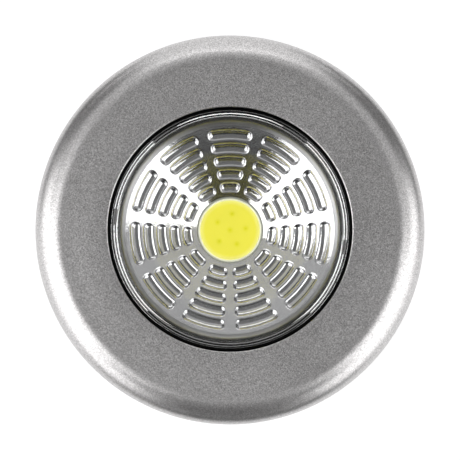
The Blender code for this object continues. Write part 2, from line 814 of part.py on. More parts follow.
def make_chassis():
    chassis = rod("battery_chassis", (0, 0), chassis_radius, floor_bottom_z, floor_top_z,
                  "black_plastic", steps=round_steps)
    outer = bay_outline(bay_side_x, bay_end_y, bay_corner)
    fuse(chassis, plates("bay_block", [outer], floor_bottom_z, roof_top_z))
    for i, place in enumerate(spring_places()):
        fuse(chassis, rod(f"tower_{i}", place, tower_radius, floor_bottom_z + fuse_depth,
                          tower_top_z))
        fuse(chassis, rod(f"tower_spigot_{i}", place, spigot_radius, tower_top_z - fuse_depth,
                          tower_top_z + spigot_height, steps=tiny_steps))
    for i, place in enumerate(boss_places()):
        fuse(chassis, rod(f"screw_pad_{i}", place, screw_pad_radius, floor_bottom_z + fuse_depth,
                          floor_top_z + screw_pad_height))
    inner = bay_outline(bay_half_width, bay_half_length, bay_corner)
    cut(chassis, plates("bay_room", [inner], floor_bottom_z - cut_overrun, roof_bottom_z))
    for i, side in enumerate((1, -1)):
        rib = box(
            f"cell_rib_{i}",
            (side * cell_pitch / 2 - rib_width / 2, -rib_half_length, roof_bottom_z - rib_depth),
            (side * cell_pitch / 2 + rib_width / 2, rib_half_length, roof_bottom_z + fuse_depth),
        )
        fuse(chassis, rib)
    for i, place in enumerate(board_screw_places()):
        cut(chassis, rod(f"head_room_{i}", place, board_screw_head_radius + 2 * slide_gap,
                         roof_bottom_z - rib_depth - cut_overrun, roof_top_z + cut_overrun))
    for i, place in enumerate(boss_places()):
        recess_z = screw_seat_z + screw_head_height + seat_gap
        cut(chassis, rod(f"head_recess_{i}", place, screw_head_radius + slide_gap,
                         floor_bottom_z - cut_overrun, recess_z))
        cut(chassis, rod(f"screw_hole_{i}", place, screw_shank_radius + slide_gap,
                         floor_bottom_z, floor_top_z + screw_pad_height + cut_overrun,
                         steps=tiny_steps))
    cut(chassis, plates("hook_slots", hook_slot_outlines(), floor_bottom_z - cut_overrun,
                        floor_top_z + cut_overrun))
    for i, (x, y) in enumerate(tab_places()):
        side = math.copysign(1, y)
        ends = sorted((side * (bay_half_length - cut_overrun), side * (bay_end_y + cut_overrun)))
        half = tab_width / 2 + slide_gap
        slot = box(
            f"tab_slot_{i}",
            (x - half, ends[0], tab_z - contact_thickness / 2 - slide_gap),
            (x + half, ends[1], tab_z + contact_thickness / 2 + slide_gap),
        )
        cut(chassis, slot)
    for i, side in enumerate((1, -1)):
        rest = box(
            f"pcb_rest_{i}",
            (pcb_min_x + seat_gap, side * pcb_half_width - side * rib_width / 2 - rib_width / 2,
             floor_top_z - fuse_depth),
            (pcb_max_x - seat_gap, side * pcb_half_width - side * rib_width / 2 + rib_width / 2,
             pcb_bottom_z - seat_gap),
        )
        fuse(chassis, rest)


def hook_slot_outlines():
    """Each slot is narrow where its hook is locked and wide where the hook goes in."""
    inner = hook_inner_radius - seat_gap
    narrow = hook_inner_radius + hook_post_width + seat_gap
    wide = hook_inner_radius + hook_post_width + hook_reach + seat_gap
    outlines = []
    for i in range(hook_count):
        turn = 2 * math.pi * i / hook_count + hook_start_angle
        start = turn - hook_half_angle - hook_play_angle
        end = turn + hook_twist + hook_half_angle + hook_play_angle
        step = end - 2 * (hook_half_angle + hook_play_angle)
        outline = arc((0, 0), narrow, start, step, 5)
        outline += arc((0, 0), wide, step, end, 4)
        outline += arc((0, 0), inner, end, start, 9)
        outlines.append(outline)
    return outlines


def make_cover():
    cover = rod("battery_cover", (0, 0), cover_radius, cover_bottom_z, cover_top_z,
                "black_plastic", cover_empty, round_steps)
    tab_top_z = floor_top_z + seat_gap + hook_tab_height
    posts = []
    tabs = []
    for i in range(hook_count):
        turn = 2 * math.pi * i / hook_count + hook_start_angle
        start = turn - hook_half_angle
        end = turn + hook_half_angle
        post_outer = hook_inner_radius + hook_post_width
        posts.append(sector(hook_inner_radius, post_outer, start, end, 0, 4))
        tabs.append(sector(post_outer - fuse_depth, post_outer + hook_reach,
                           start + hook_tab_inset, end - hook_tab_inset, 0, 4))
    fuse(cover, plates("hook_posts", posts, cover_top_z - fuse_depth, tab_top_z))
    fuse(cover, plates("hook_tabs", tabs, floor_top_z + seat_gap, tab_top_z))
    grips = []
    for side in (1, -1):
        for i in range(grip_count):
            angle = side * math.pi / 2 + grip_pitch_angle * (i - (grip_count - 1) / 2)
            half = 0.5 * grip_width / grip_radius
            grips.append(sector(grip_radius - grip_length / 2, grip_radius + grip_length / 2,
                                angle - half, angle + half, 0, 1))
    fuse(cover, plates("grips", grips, cover_bottom_z - grip_height, cover_bottom_z + fuse_depth))
    rod("adhesive_pad", (0, 0), pad_radius, cover_bottom_z - bond_gap - pad_thickness,
        cover_bottom_z - bond_gap, "foam", cover_empty, round_steps)


def cell_x(index):
    return cell_pitch * (index - 1)


def cell_turn(index):
    # The outer cells' caps point to -Y and the middle one's to +Y: they are wired in series.
    return 1 if index == 1 else -1


def make_cells():
    body_length = cell_length - nub_height
    profile = [
        (0, cell_length / 2),
        (nub_radius, cell_length / 2),
        (nub_radius, body_length - cell_length / 2),
        (cell_radius - cell_fillet, body_length - cell_length / 2),
        (cell_radius, body_length - cell_length / 2 - cell_fillet),
        (cell_radius, -cell_length / 2 + cell_fillet),
        (cell_radius - cell_fillet, -cell_length / 2),
        (0, -cell_length / 2),
    ]
    for i in range(3):
        cell = turned(f"battery_cell_{i + 1}", profile, "cell_sleeve", steps=24)
        turn = math.pi / 2 if cell_turn(i) < 0 else -math.pi / 2
        # The cap stands against its bump, and the contact spring takes up the other end.
        shift = cap_face_y() - cell_length / 2
        cell.rotation_euler = (turn, 0, 0)
        cell.location = (cell_x(i), cell_turn(i) * shift, cell_axis_z)


def plate_outer_y():
    return bay_half_length - seat_gap


def plate_inner_y():
    return plate_outer_y() - contact_thickness


def cap_face_y():
    return plate_inner_y() - contact_bump_height - contact_clear


def add_bump(contact, name, x, side):
    """The raised dimple that meets a cell's cap."""
    inner = side * plate_inner_y()
    base = contact_bump_radius
    tip = 0.6 * contact_bump_radius
    bm = bmesh.new()
    depth = contact_bump_height + fuse_depth
    bmesh.ops.create_cone(bm, cap_ends=True, segments=tiny_steps, radius1=base, radius2=tip,
                          depth=depth)
    bmesh.ops.rotate(bm, verts=bm.verts, matrix=Matrix.Rotation(side * math.pi / 2, 3, "X"))
    middle = inner + side * (fuse_depth - depth / 2)
    bmesh.ops.translate(bm, verts=bm.verts, vec=(x, middle, cell_axis_z))
    mesh = bpy.data.meshes.new(name)
    bm.to_mesh(mesh)
    bm.free()
    fuse(contact, new_object(name, mesh))


def add_contact_spring(contact, name, x, side):
    """A conical spring that starts inside the plate and ends just short of the cell."""
    start_y = plate_inner_y() + contact_thickness / 2
    flat_end_y = cell_length - cap_face_y()
    end_y = flat_end_y + contact_clear + contact_spring_wire / 2
    points = helix((0, 0), start_y, end_y, contact_spring_base, contact_spring_tip,
                   contact_spring_turns)
    placed = [(x + px, side * pz, cell_axis_z + py) for px, py, pz in points]
    fuse(contact, tube(name, placed, contact_spring_wire / 2, resolution=1))


def make_contact(name, side, bump_x=None, spring_x_place=None, tab_x=None):
    places = [x for x in (bump_x, spring_x_place) if x is not None]
    low_x = min(places) - contact_width / 2
    high_x = max(places) + contact_width / 2
    ends = sorted((side * plate_inner_y(), side * plate_outer_y()))
    contact = box(
        name,
        (low_x, ends[0], cell_axis_z - contact_height / 2),
        (high_x, ends[1], cell_axis_z + contact_height / 2),
        "nickel",
    )
    if tab_x is not None:
        tab_ends = sorted((side * (plate_outer_y() - contact_thickness / 2),
                           side * (plate_outer_y() + tab_reach)))
        tab = box(
            name + "_tab",
            (tab_x - tab_width / 2, tab_ends[0], tab_z - contact_thickness / 2),
            (tab_x + tab_width / 2, tab_ends[1], tab_z + contact_thickness / 2),
        )
        fuse(contact, tab)
    if bump_x is not None:
        add_bump(contact, name + "_bump", bump_x, side)
    if spring_x_place is not None:
        add_contact_spring(contact, name + "_spring", spring_x_place, side)


def tab_places():
    return [(cell_x(2), -plate_outer_y()), (cell_x(0), plate_outer_y())]


def make_contacts():
    make_contact("contact_positive", -1, bump_x=cell_x(2), tab_x=cell_x(2))
    make_contact("contact_link_front", 1, bump_x=cell_x(1), spring_x_place=cell_x(2))
    make_contact("contact_link_rear", -1, bump_x=cell_x(0), spring_x_place=cell_x(1))
    make_contact("contact_negative", 1, spring_x_place=cell_x(0), tab_x=cell_x(0))


def switch_pins():
    return [(switch_x + sx * 0.5 * (switch_side - pin_pitch), i * pin_pitch)
            for sx in (1, -1) for i in (-1, 0, 1)]


def make_switch():
    board = box(
        "switch_board",
        (pcb_min_x, -pcb_half_width, pcb_bottom_z),
        (pcb_max_x, pcb_half_width, pcb_top_z),
        "board_green",
    )
    half = switch_side / 2
    body = box(
        "switch_body",
        (switch_x - half, -half, switch_bottom_z),
        (switch_x + half, half, switch_top_z),
        "white_plastic",
    )
    well = switch_well / 2
    well_bottom_z = switch_top_z - stem_inside - press_travel - slide_gap
    cut(body, box(
        "switch_well",
        (switch_x - well, -well, well_bottom_z),
        (switch_x + well, well, switch_top_z + cut_overrun),
    ))
    for i, place in enumerate(switch_pins()):
        fuse(body, rod(f"switch_pin_{i}", place, pin_radius, switch_bottom_z - pin_length,
                       switch_bottom_z + fuse_depth, steps=tiny_steps))
        cut(board, rod(f"pin_hole_{i}", place, pin_radius + seat_gap, pcb_bottom_z - cut_overrun,
                       pcb_top_z + cut_overrun, steps=tiny_steps))
    stem_half = stem_side / 2
    neck_z = stem_top_z - stem_cap_height
    stem = box(
        "switch_stem",
        (switch_x - stem_half, -stem_half, switch_top_z - stem_inside),
        (switch_x + stem_half, stem_half, neck_z),
        "white_plastic",
        stem_empty,
    )
    fuse(stem, rod("stem_cap", (switch_x, 0), stem_cap_radius, neck_z - fuse_depth, stem_top_z,
                   steps=small_steps))
    resistor_y = 0.5 * (switch_side / 2 + pcb_half_width)
    box(
        "series_resistor",
        (switch_x - resistor_length / 2, resistor_y - resistor_width / 2, pcb_top_z + bond_gap),
        (switch_x + resistor_length / 2, resistor_y + resistor_width / 2,
         pcb_top_z + bond_gap + resistor_height),
        "resistor_black",
    )


def smooth_route(points, spacing):
    """Points along a smooth curve through the route's own points, evenly apart."""
    knots = [Vector(p) for p in points]
    knots = [2 * knots[0] - knots[1]] + knots + [2 * knots[-1] - knots[-2]]
    fine = []
    for a, b, c, d in zip(knots, knots[1:], knots[2:], knots[3:]):
        for i in range(20):
            t = i / 20
            fine.append(0.5 * (2 * b + (c - a) * t + (2 * a - 5 * b + 4 * c - d) * t * t
                               + (3 * b - a - 3 * c + d) * t * t * t))
    fine.append(knots[-2])
    lengths = [0]
    for p, q in zip(fine, fine[1:]):
        lengths.append(lengths[-1] + (q - p).length)
    count = max(2, round(lengths[-1] / spacing))
    route = []
    j = 0
    for i in range(count + 1):
        wanted = lengths[-1] * i / count
        while j < len(fine) - 2 and lengths[j + 1] < wanted:
            j += 1
        share = (wanted - lengths[j]) / (lengths[j + 1] - lengths[j])
        route.append(tuple(fine[j].lerp(fine[j + 1], share)))
    return route


def lead(name, points, finish, parent=None):
    tube(name, smooth_route(points, 2.5 * lead_diameter), lead_diameter / 2, finish, parent)


def make_leads():
    pad_x = pcb_max_x - 0.5 * pcb_margin + 0.25 * lead_diameter
    foot_z = pcb_top_z + bond_gap
    rise_z = foot_z + 3 * lead_diameter
    lane = inside_radius - 0.5 * lane_width
    start_y = bay_end_y + seat_gap + lead_diameter / 2
    start_z = tab_z + contact_thickness / 2 + bond_gap + lead_diameter / 2
    pitch = 2.2 * lead_diameter
    step = math.radians(20)
    red_x = cell_x(2)
    lead("battery_wire_red", [
        (red_x, -start_y, start_z),
        (red_x + 2 * lead_diameter, -start_y, start_z),
        (*on_circle(lane, -2.6 * step), start_z),
        (*on_circle(lane, -1.8 * step), tab_z),
        (*on_circle(lane, -step), tab_z),
        (pad_x, -0.5 * pitch, rise_z),
        (pad_x, -0.5 * pitch, foot_z),
    ], "red_sheath")
    black_x = cell_x(0)
    lead("battery_wire_black", [
        (black_x, start_y, start_z),
        (black_x + 2 * lead_diameter, start_y, start_z),
        (0, lane, start_z),
        (*on_circle(lane, 3 * step), start_z),
        (*on_circle(lane, 2 * step), start_z),
        (*on_circle(lane, step), tab_z),
        (pad_x, 0.5 * pitch, rise_z),
        (pad_x, 0.5 * pitch, foot_z),
    ], "black_sheath")
    top_z = board_top_z + seat_gap + lead_diameter / 2
    pad_radius_share = 0.9
    for side, finish, name in ((1, "red_sheath", "led_wire_red"),
                               (-1, "black_sheath", "led_wire_black")):
        lead(name, [
            (board_radius * pad_radius_share, side * lead_y / 2, top_z),
            (board_radius + lead_diameter, side * lead_y * 0.7, top_z),
            (lead_x - 1.5 * lead_diameter, side * lead_y * 0.95, top_z),
            (lead_x, side * lead_y, carrier_floor_top_z - 0.5 * carrier_floor),
            (lead_x + 0.5 * lead_diameter, side * lead_y, carrier_bottom_z - 2 * lead_diameter),
            (pad_x, side * 1.5 * pitch, rise_z),
            (pad_x, side * 1.5 * pitch, foot_z),
        ], finish, push_empty)


make_bezel()
make_lens()
make_reflector()
make_chip()
make_led_board()
make_carrier()
make_screws()
make_return_springs()
make_chassis()
make_cover()
make_cells()
make_contacts()
make_switch()
make_leads()
for part in parts.objects:
    if part.type == "MESH" and not part.modifiers.get("turn"):
        shade_round(part)
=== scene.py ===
import math

import bmesh
import bpy
from mathutils import Matrix, Vector


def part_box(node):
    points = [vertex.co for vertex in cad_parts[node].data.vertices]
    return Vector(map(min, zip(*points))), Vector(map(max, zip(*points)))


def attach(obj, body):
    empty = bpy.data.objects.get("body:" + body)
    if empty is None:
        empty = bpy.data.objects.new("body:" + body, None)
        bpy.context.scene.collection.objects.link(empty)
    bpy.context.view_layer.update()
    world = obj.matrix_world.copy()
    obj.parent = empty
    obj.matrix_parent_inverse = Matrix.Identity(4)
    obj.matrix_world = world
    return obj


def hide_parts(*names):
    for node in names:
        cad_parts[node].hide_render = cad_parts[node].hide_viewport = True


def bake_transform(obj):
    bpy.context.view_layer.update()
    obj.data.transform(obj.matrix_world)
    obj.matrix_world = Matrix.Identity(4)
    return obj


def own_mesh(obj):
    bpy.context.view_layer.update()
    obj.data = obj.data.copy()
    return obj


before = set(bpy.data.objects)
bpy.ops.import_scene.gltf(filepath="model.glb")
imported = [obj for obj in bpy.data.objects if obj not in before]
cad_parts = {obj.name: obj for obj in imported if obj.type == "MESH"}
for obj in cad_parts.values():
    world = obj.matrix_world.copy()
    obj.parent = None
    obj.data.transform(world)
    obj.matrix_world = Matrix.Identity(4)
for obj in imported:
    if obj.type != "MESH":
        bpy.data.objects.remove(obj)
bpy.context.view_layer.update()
mm = 0.001
white = (1, 1, 1, 1)
print("frame loaded:", len(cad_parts), "nodes")

# Helpers for node trees. A place is where a node stands in its editor.


def setInputs(tree, node, values):
    # Each value is a constant, or a socket that gives it
    for key, value in values.items():
        if isinstance(value, bpy.types.NodeSocket):
            tree.links.new(value, node.inputs[key])
        else:
            node.inputs[key].default_value = value


def addNode(tree, kind, place, settings=None, values=None):
    node = tree.nodes.new(kind)
    node.location = place
    for key, value in (settings or {}).items():
        setattr(node, key, value)
    setInputs(tree, node, values or {})
    return node


def addMath(tree, place, operation, *values):
    node = addNode(tree, "ShaderNodeMath", place, {"operation": operation}, dict(enumerate(values)))
    return node.outputs["Value"]


def addVectorMath(tree, place, operation, *values, result="Vector"):
    node = addNode(tree, "ShaderNodeVectorMath", place, {"operation": operation},
                   dict(enumerate(values)))
    return node.outputs[result]


def newGroup(name, inputs, outputs):
    tree = bpy.data.node_groups.new(name, "ShaderNodeTree")
    for title, kind, value in inputs:
        socket = tree.interface.new_socket(name=title, in_out="INPUT", socket_type=kind)
        if value is not None:
            socket.default_value = value
    for title, kind in outputs:
        tree.interface.new_socket(name=title, in_out="OUTPUT", socket_type=kind)
    start = addNode(tree, "NodeGroupInput", (-900, 0))
    end = addNode(tree, "NodeGroupOutput", (900, 0))
    return tree, start.outputs, end


def newMaterial(name, colour, metallic, roughness):
    material = bpy.data.materials.new(name)
    material.use_nodes = True
    tree = material.node_tree
    shader = tree.nodes["Principled BSDF"]
    setInputs(tree, shader, {"Base Color": (*colour, 1), "Metallic": metallic,
                             "Roughness": roughness})
    coords = addNode(tree, "ShaderNodeTexCoord", (-1200, 0)).outputs["Object"]
    return material, tree, shader, coords


def addGroup(tree, group, place, coords, values):
    return addNode(tree, "ShaderNodeGroup", place, {"node_tree": group},
                   {"Vector": coords, **values}).outputs


def mixColours(tree, place, factor, first, second, blend="MIX"):
    # first and second are colours, or sockets that give one
    first, second = [(*end, 1) if isinstance(end, tuple) else end for end in (first, second)]
    node = addNode(tree, "ShaderNodeMix", place, {"data_type": "RGBA", "blend_type": blend},
                   {"Factor": factor, 6: first, 7: second})
    return node.outputs[2]


def mapValue(tree, place, value, fromMin, fromMax, toMin, toMax, smooth=False):
    kind = "SMOOTHSTEP" if smooth else "LINEAR"
    node = addNode(tree, "ShaderNodeMapRange", place, {"interpolation_type": kind},
                   {"Value": value, "From Min": fromMin, "From Max": fromMax,
                    "To Min": toMin, "To Max": toMax})
    return node.outputs["Result"]


def radialValue(tree, place, coords, start, end, startValue, endValue, smooth=False):
    # Changes with the distance from the upright axis
    x, y = place
    flat = addVectorMath(tree, place, "MULTIPLY", coords, (1, 1, 0))
    length = addVectorMath(tree, (x + 180, y), "LENGTH", flat, result="Value")
    return mapValue(tree, (x + 360, y), length, start, end, startValue, endValue, smooth)


def addBump(tree, shader, place, height, distance, normal=None):
    values = {"Height": height, "Distance": distance}
    if normal is not None:
        values["Normal"] = normal
    bump = addNode(tree, "ShaderNodeBump", place, None, values).outputs["Normal"]
    tree.links.new(bump, shader.inputs["Normal"])
    return bump


def shaded(colour, share):
    return tuple(c * share for c in colour)


# Shader groups that several finishes share


def makeGrainGroup():
    tree, given, end = newGroup(
        "mouldGrain",
        [("Vector", "NodeSocketVector", None), ("Fine Scale", "NodeSocketFloat", 3000.0),
         ("Cloud Scale", "NodeSocketFloat", 120.0)],
        [("Grain", "NodeSocketFloat"), ("Clouds", "NodeSocketFloat")])
    fine = addNode(tree, "ShaderNodeTexNoise", (-500, 150), None,
                   {"Vector": given["Vector"], "Scale": given["Fine Scale"],
                    "Detail": 2.0, "Roughness": 0.6})
    clouds = addNode(tree, "ShaderNodeTexNoise", (-500, -150), None,
                     {"Vector": given["Vector"], "Scale": given["Cloud Scale"], "Detail": 4.0})
    # most of the noise lies between these two values
    setInputs(tree, end, {
        "Grain": mapValue(tree, (-200, 150), fine.outputs["Fac"], 0.3, 0.7, 0, 1),
        "Clouds": mapValue(tree, (-200, -150), clouds.outputs["Fac"], 0.35, 0.65, 0, 1)})
    return tree


def makeFlakeGroup():
    tree, given, end = newGroup(
        "paintFlakes",
        [("Vector", "NodeSocketVector", None), ("Normal", "NodeSocketVector", None),
         ("Scale", "NodeSocketFloat", 5500.0), ("Tilt", "NodeSocketFloat", 0.2)],
        [("Normal", "NodeSocketVector"), ("Shade", "NodeSocketFloat"),
         ("PaintedGlint", "NodeSocketFloat")])
    flakes = addNode(tree, "ShaderNodeTexVoronoi", (-600, 100), None,
                     {"Vector": given["Vector"], "Scale": given["Scale"]}).outputs["Color"]
    centred = addVectorMath(tree, (-380, 100), "SUBTRACT", flakes, (0.5, 0.5, 0.5))
    tilted = addNode(tree, "ShaderNodeVectorMath", (-180, 100), {"operation": "SCALE"},
                     {0: centred, "Scale": given["Tilt"]}).outputs["Vector"]
    added = addVectorMath(tree, (20, 100), "ADD", tilted, given["Normal"])
    parts = addNode(tree, "ShaderNodeSeparateColor", (-380, -150), None, {"Color": flakes}).outputs
    setInputs(tree, end, {
        "Normal": addVectorMath(tree, (220, 100), "NORMALIZE", added),
        "Shade": parts["Red"],
        # the palest few flakes become painted glints
        "PaintedGlint": mapValue(tree, (-100, -250), parts["Green"], 0.985, 1.0, 0, 1)})
    return tree


grainGroup = makeGrainGroup()
flakeGroup = makeFlakeGroup()

# Finishes


def mouldedFinish(name, colour, metallic, roughness, look):
    # look: fine and cloud scale, how much the clouds tint, how far roughness goes, bump height
    fineScale, cloudScale, tint, spread, bumpHeight = look
    material, tree, shader, coords = newMaterial(name, colour, metallic, roughness)
    grain = addGroup(tree, grainGroup, (-900, 0), coords,
                     {"Fine Scale": fineScale, "Cloud Scale": cloudScale})
    setInputs(tree, shader, {
        "Base Color": mixColours(tree, (-500, 200), grain["Clouds"], shaded(colour, 1 - tint),
                                 shaded(colour, 1 + tint)),
        "Roughness": mapValue(tree, (-500, 0), grain["Grain"], 0, 1, roughness - spread,
                              roughness + spread)})
    addBump(tree, shader, (-500, -250), grain["Grain"], bumpHeight)
    return material


bareAndShadeColour = (0.02, 0.02, 0.022)


def bareAndShadeWhereMasked(tree, shader, colour, metallic):
    # Coating stops where the mesh says so, and the black plastic under it shows; on the ring's
    # opening wall this black is also painted shade
    bare = addNode(tree, "ShaderNodeAttribute", (-900, 600),
                   {"attribute_name": "bareAndShadeShare"}).outputs["Fac"]
    setInputs(tree, shader, {
        "Base Color": mixColours(tree, (-50, 350), bare, colour, bareAndShadeColour),
        "Metallic": mapValue(tree, (-50, 150), bare, 0, 1, metallic, 0)})


def maskBareAndShade(bm, bareAndShadeShare):
    layer = bm.verts.layers.float.new("bareAndShadeShare")
    for vert in bm.verts:
        vert[layer] = bareAndShadeShare(math.hypot(vert.co.x, vert.co.y) / mm, vert.co.z / mm)


paint = {
    "base": (0.31, 0.301, 0.301),
    "bright": (0.84, 0.825, 0.825),
    "darkFlake": 0.8,  # share of the base colour
    "metallic": 0.92,
    "roughness": 0.35,
    "spread": 0.02,
    "flakeScale": 9500,
    "flakeTilt": 0.006,
    "calmFrom": (28.0 * mm, 31.0 * mm),  # the flakes stand out less on the round shoulder
    "calm": 0.30,
    "even": (0.4, 0.5),  # shares of base and bright in the calm colour
    "peelScale": 900,
    "peelHeight": 0.00004 * mm,
    "cloudScale": 60,
}


def silverPaint():
    material, tree, shader, coords = newMaterial("silverPaint", paint["base"], paint["metallic"],
                                                 paint["roughness"])
    facing = addNode(tree, "ShaderNodeNewGeometry", (-1200, -300)).outputs["Normal"]
    flakes = addGroup(tree, flakeGroup, (-900, 0), coords,
                      {"Scale": paint["flakeScale"], "Tilt": paint["flakeTilt"], "Normal": facing})
    shade = mixColours(tree, (-500, 250), flakes["Shade"],
                       shaded(paint["base"], paint["darkFlake"]), paint["bright"])
    # white painted glints on those flakes
    withPaintedGlints = mixColours(tree, (-250, 250), flakes["PaintedGlint"], shade, (1, 1, 1))
    calm = radialValue(tree, (-700, 600), coords, *paint["calmFrom"], 0, paint["calm"], True)
    ofBase, ofBright = paint["even"]
    even = tuple(ofBase * low + ofBright * high
                 for low, high in zip(paint["base"], paint["bright"]))
    calmed = mixColours(tree, (-100, 400), calm, withPaintedGlints, even)
    bareAndShadeWhereMasked(tree, shader, calmed, paint["metallic"])
    grain = addGroup(tree, grainGroup, (-900, -300), coords,
                     {"Fine Scale": paint["peelScale"], "Cloud Scale": paint["cloudScale"]})
    rough = mapValue(tree, (-500, 0), grain["Clouds"], 0, 1, paint["roughness"] - paint["spread"],
                     paint["roughness"] + paint["spread"])
    tree.links.new(rough, shader.inputs["Roughness"])
    addBump(tree, shader, (-500, -300), grain["Grain"], paint["peelHeight"], flakes["Normal"])
    return material


clear = {
    "tint": (0.975, 0.985, 0.985),
    "cloudScale": 70,
    "cloudShade": 0.99,
    # black print in the grooves and over the flange, painted shade for the dark grooves and the
    # deep gap, as (radius in mm, share let through)
    "print": [(20.00, 1), (20.44, 0.02), (20.55, 1), (20.89, 0.01), (21.06, 1), (21.22, 0.01)],
    "paintedShadeWidth": 1.4,
    "coatFrom": (20.04 * mm, 20.06 * mm),  # from here outwards a hard coat shines on the rings
    "coatIor": 3.6,
    "coatRoughness": 0.04,
    "roughness": 0.012,
    "roughShares": (0.6, 1.4),
    "ior": 1.49,
}


def clearPlastic():
    material, tree, shader, coords = newMaterial("clearPlastic", clear["tint"], 0,
                                                 clear["roughness"])
    grain = addGroup(tree, grainGroup, (-900, 0), coords, {"Cloud Scale": clear["cloudScale"]})
    tinted = mixColours(tree, (-500, 200), grain["Clouds"], clear["tint"],
                        shaded(clear["tint"], clear["cloudShade"]))
    start, width = clear["print"][0][0], clear["paintedShadeWidth"]
    outward = radialValue(tree, (-900, 400), coords, start * mm, (start + width) * mm, 0, 1)
    rings = addNode(tree, "ShaderNodeValToRGB", (-300, 500), None, {"Fac": outward})
    rings.color_ramp.interpolation = "CONSTANT"
    stops = rings.color_ramp.elements
    stops[0].color = white
    stops.remove(stops[1])
    for radius, share in clear["print"][1:]:
        stops.new((radius - start) / width).color = (share, share, share, 1)
    # the black rings darken the lens as painted shade
    withPaintedShade = mixColours(tree, (-50, 350), 1.0, tinted, rings.outputs["Color"], "MULTIPLY")
    least, most = shaded(clear["roughShares"], clear["roughness"])
    zone = radialValue(tree, (-900, -250), coords, *clear["coatFrom"], 0, 1)
    setInputs(tree, shader, {
        "Base Color": withPaintedShade,
        "Roughness": mapValue(tree, (-500, 0), grain["Clouds"], 0, 1, least, most),
        "Transmission Weight": 1,
        "IOR": clear["ior"],
        "Coat Weight": addMath(tree, (-250, -300), "MULTIPLY", zone, rings.outputs["Color"]),
        "Coat IOR": clear["coatIor"],
        "Coat Roughness": clear["coatRoughness"]})
    return material


chrome = {
    "colour": (0.66, 0.65, 0.655),
    "roughness": 0.06,
    "roughShares": (0.8, 1.4),
    "grainScale": 3200,
    "cloudScale": 160,
    "cloudShade": 0.93,
    # the plating is darker and rougher towards the rim, and darker still but less rough on the
    # rim's top
    "dullFrom": (18.60 * mm, 18.80 * mm),
    "dullShare": 0.62,
    "dullRoughness": 0.32,
    "thinFrom": (19.36 * mm, 19.46 * mm),
    "thinShare": 0.40,
    "thinRoughness": 0.12,
    "waveHeight": 0.02 * mm,  # the moulding under the plating isn't quite even
    "speckHeight": 0.004 * mm,
}


def chromePlating():
    colour, before = chrome["colour"], chrome["roughness"]
    material, tree, shader, coords = newMaterial("chromePlating", colour, 1, before)
    grain = addGroup(tree, grainGroup, (-900, 0), coords,
                     {"Fine Scale": chrome["grainScale"], "Cloud Scale": chrome["cloudScale"]})
    cloudy = mixColours(tree, (-500, 200), grain["Clouds"], colour,
                        shaded(colour, chrome["cloudShade"]))
    rough = mapValue(tree, (-500, 0), grain["Clouds"], 0, 1, *shaded(chrome["roughShares"], before))
    for step, part in enumerate(("dull", "thin")):
        zone = radialValue(tree, (-900, 900 + 400 * step), coords, *chrome[part + "From"], 0, 1,
                           True)
        cloudy = mixColours(tree, (-350 + 200 * step, 700), zone, cloudy,
                            shaded(colour, chrome[part + "Share"]))
        more = mapValue(tree, (-300, -100 - 200 * step), zone, 0, 1, 0,
                        chrome[part + "Roughness"] - before)
        rough = addMath(tree, (-100 + 200 * step, 0), "ADD", rough, more)
        before = chrome[part + "Roughness"]
    bareAndShadeWhereMasked(tree, shader, cloudy, 1)
    tree.links.new(rough, shader.inputs["Roughness"])
    waves = addBump(tree, shader, (-700, -450), grain["Clouds"], chrome["waveHeight"])
    addBump(tree, shader, (-500, -250), grain["Grain"], chrome["speckHeight"], waves)
    return material


phosphor = {
    "colour": (0.90, 0.82, 0.055),
    "spotColour": (0.64, 0.64, 0.0),
    "rimColour": (0.93, 0.88, 0.22),
    "radius": 5.44 * mm,
    "rimShare": 0.82,  # of the radius, where the rim's colour sets in
    "spotRadius": 0.80 * mm,
    "paintedGlow": 0.60,  # painted light: the phosphor shines a little though the LED is off
    "roughness": (0.34, 0.46),
    "grainScale": 2600,
    "cloudScale": 500,
    "cloudShade": 0.96,
    "bumpHeight": 0.004 * mm,
    "spots": [(0, 0), (0.38, 2.94), (-2.26, 1.43), (2.83, 0.30), (-1.95, -2.03), (1.25, -2.53)],
}


def phosphorGel(topZ):
    colour, radius = phosphor["colour"], phosphor["radius"]
    material, tree, shader, coords = newMaterial("phosphorGel", colour, 0, 0.4)
    spots = None
    for i, (x, y) in enumerate(phosphor["spots"]):
        level = 500 - 160 * i
        reach = addVectorMath(tree, (-900, level), "DISTANCE", coords, (x * mm, y * mm, topZ),
                              result="Value")
        near = mapValue(tree, (-700, level), reach, 0, phosphor["spotRadius"], 1, 0, True)
        spots = near if spots is None else addMath(tree, (-500, level), "MAXIMUM", spots, near)
    grain = addGroup(tree, grainGroup, (-900, -600), coords,
                     {"Fine Scale": phosphor["grainScale"], "Cloud Scale": phosphor["cloudScale"]})
    soft = mixColours(tree, (-400, -500), grain["Clouds"], colour,
                      shaded(colour, phosphor["cloudShade"]))
    rim = radialValue(tree, (-900, -800), coords, phosphor["rimShare"] * radius, radius, 0, 1, True)
    withRim = mixColours(tree, (-250, -300), rim, soft, phosphor["rimColour"])
    spotted = mixColours(tree, (-100, 100), spots, withRim, phosphor["spotColour"])
    setInputs(tree, shader, {
        "Base Color": spotted,
        "Roughness": mapValue(tree, (-400, -900), grain["Grain"], 0, 1, *phosphor["roughness"]),
        # the emission is painted light, as the LED is off
        "Emission Color": spotted,
        "Emission Strength": phosphor["paintedGlow"]})
    addBump(tree, shader, (-400, -1100), grain["Grain"], phosphor["bumpHeight"])
    return material


dam = {
    "colour": (0.90, 0.90, 0.72),
    "roughness": 0.3,
    "look": (1500, 200, 0.03, 0.05, 0.004 * mm),
    "coatIor": 2.0,
    "paintedGlow": 0.51,  # painted light: the dam shines a little, as if the phosphor's light came through it
}


def damSilicone():
    material = mouldedFinish("damSilicone", dam["colour"], 0, dam["roughness"], dam["look"])
    tree = material.node_tree
    shader = tree.nodes["Principled BSDF"]
    setInputs(tree, shader, {
        "Coat Weight": 1,
        "Coat IOR": dam["coatIor"],
        # painted light, in the dam's own colour
        "Emission Color": shader.inputs["Base Color"].links[0].from_socket,
        "Emission Strength": dam["paintedGlow"]})
    return material


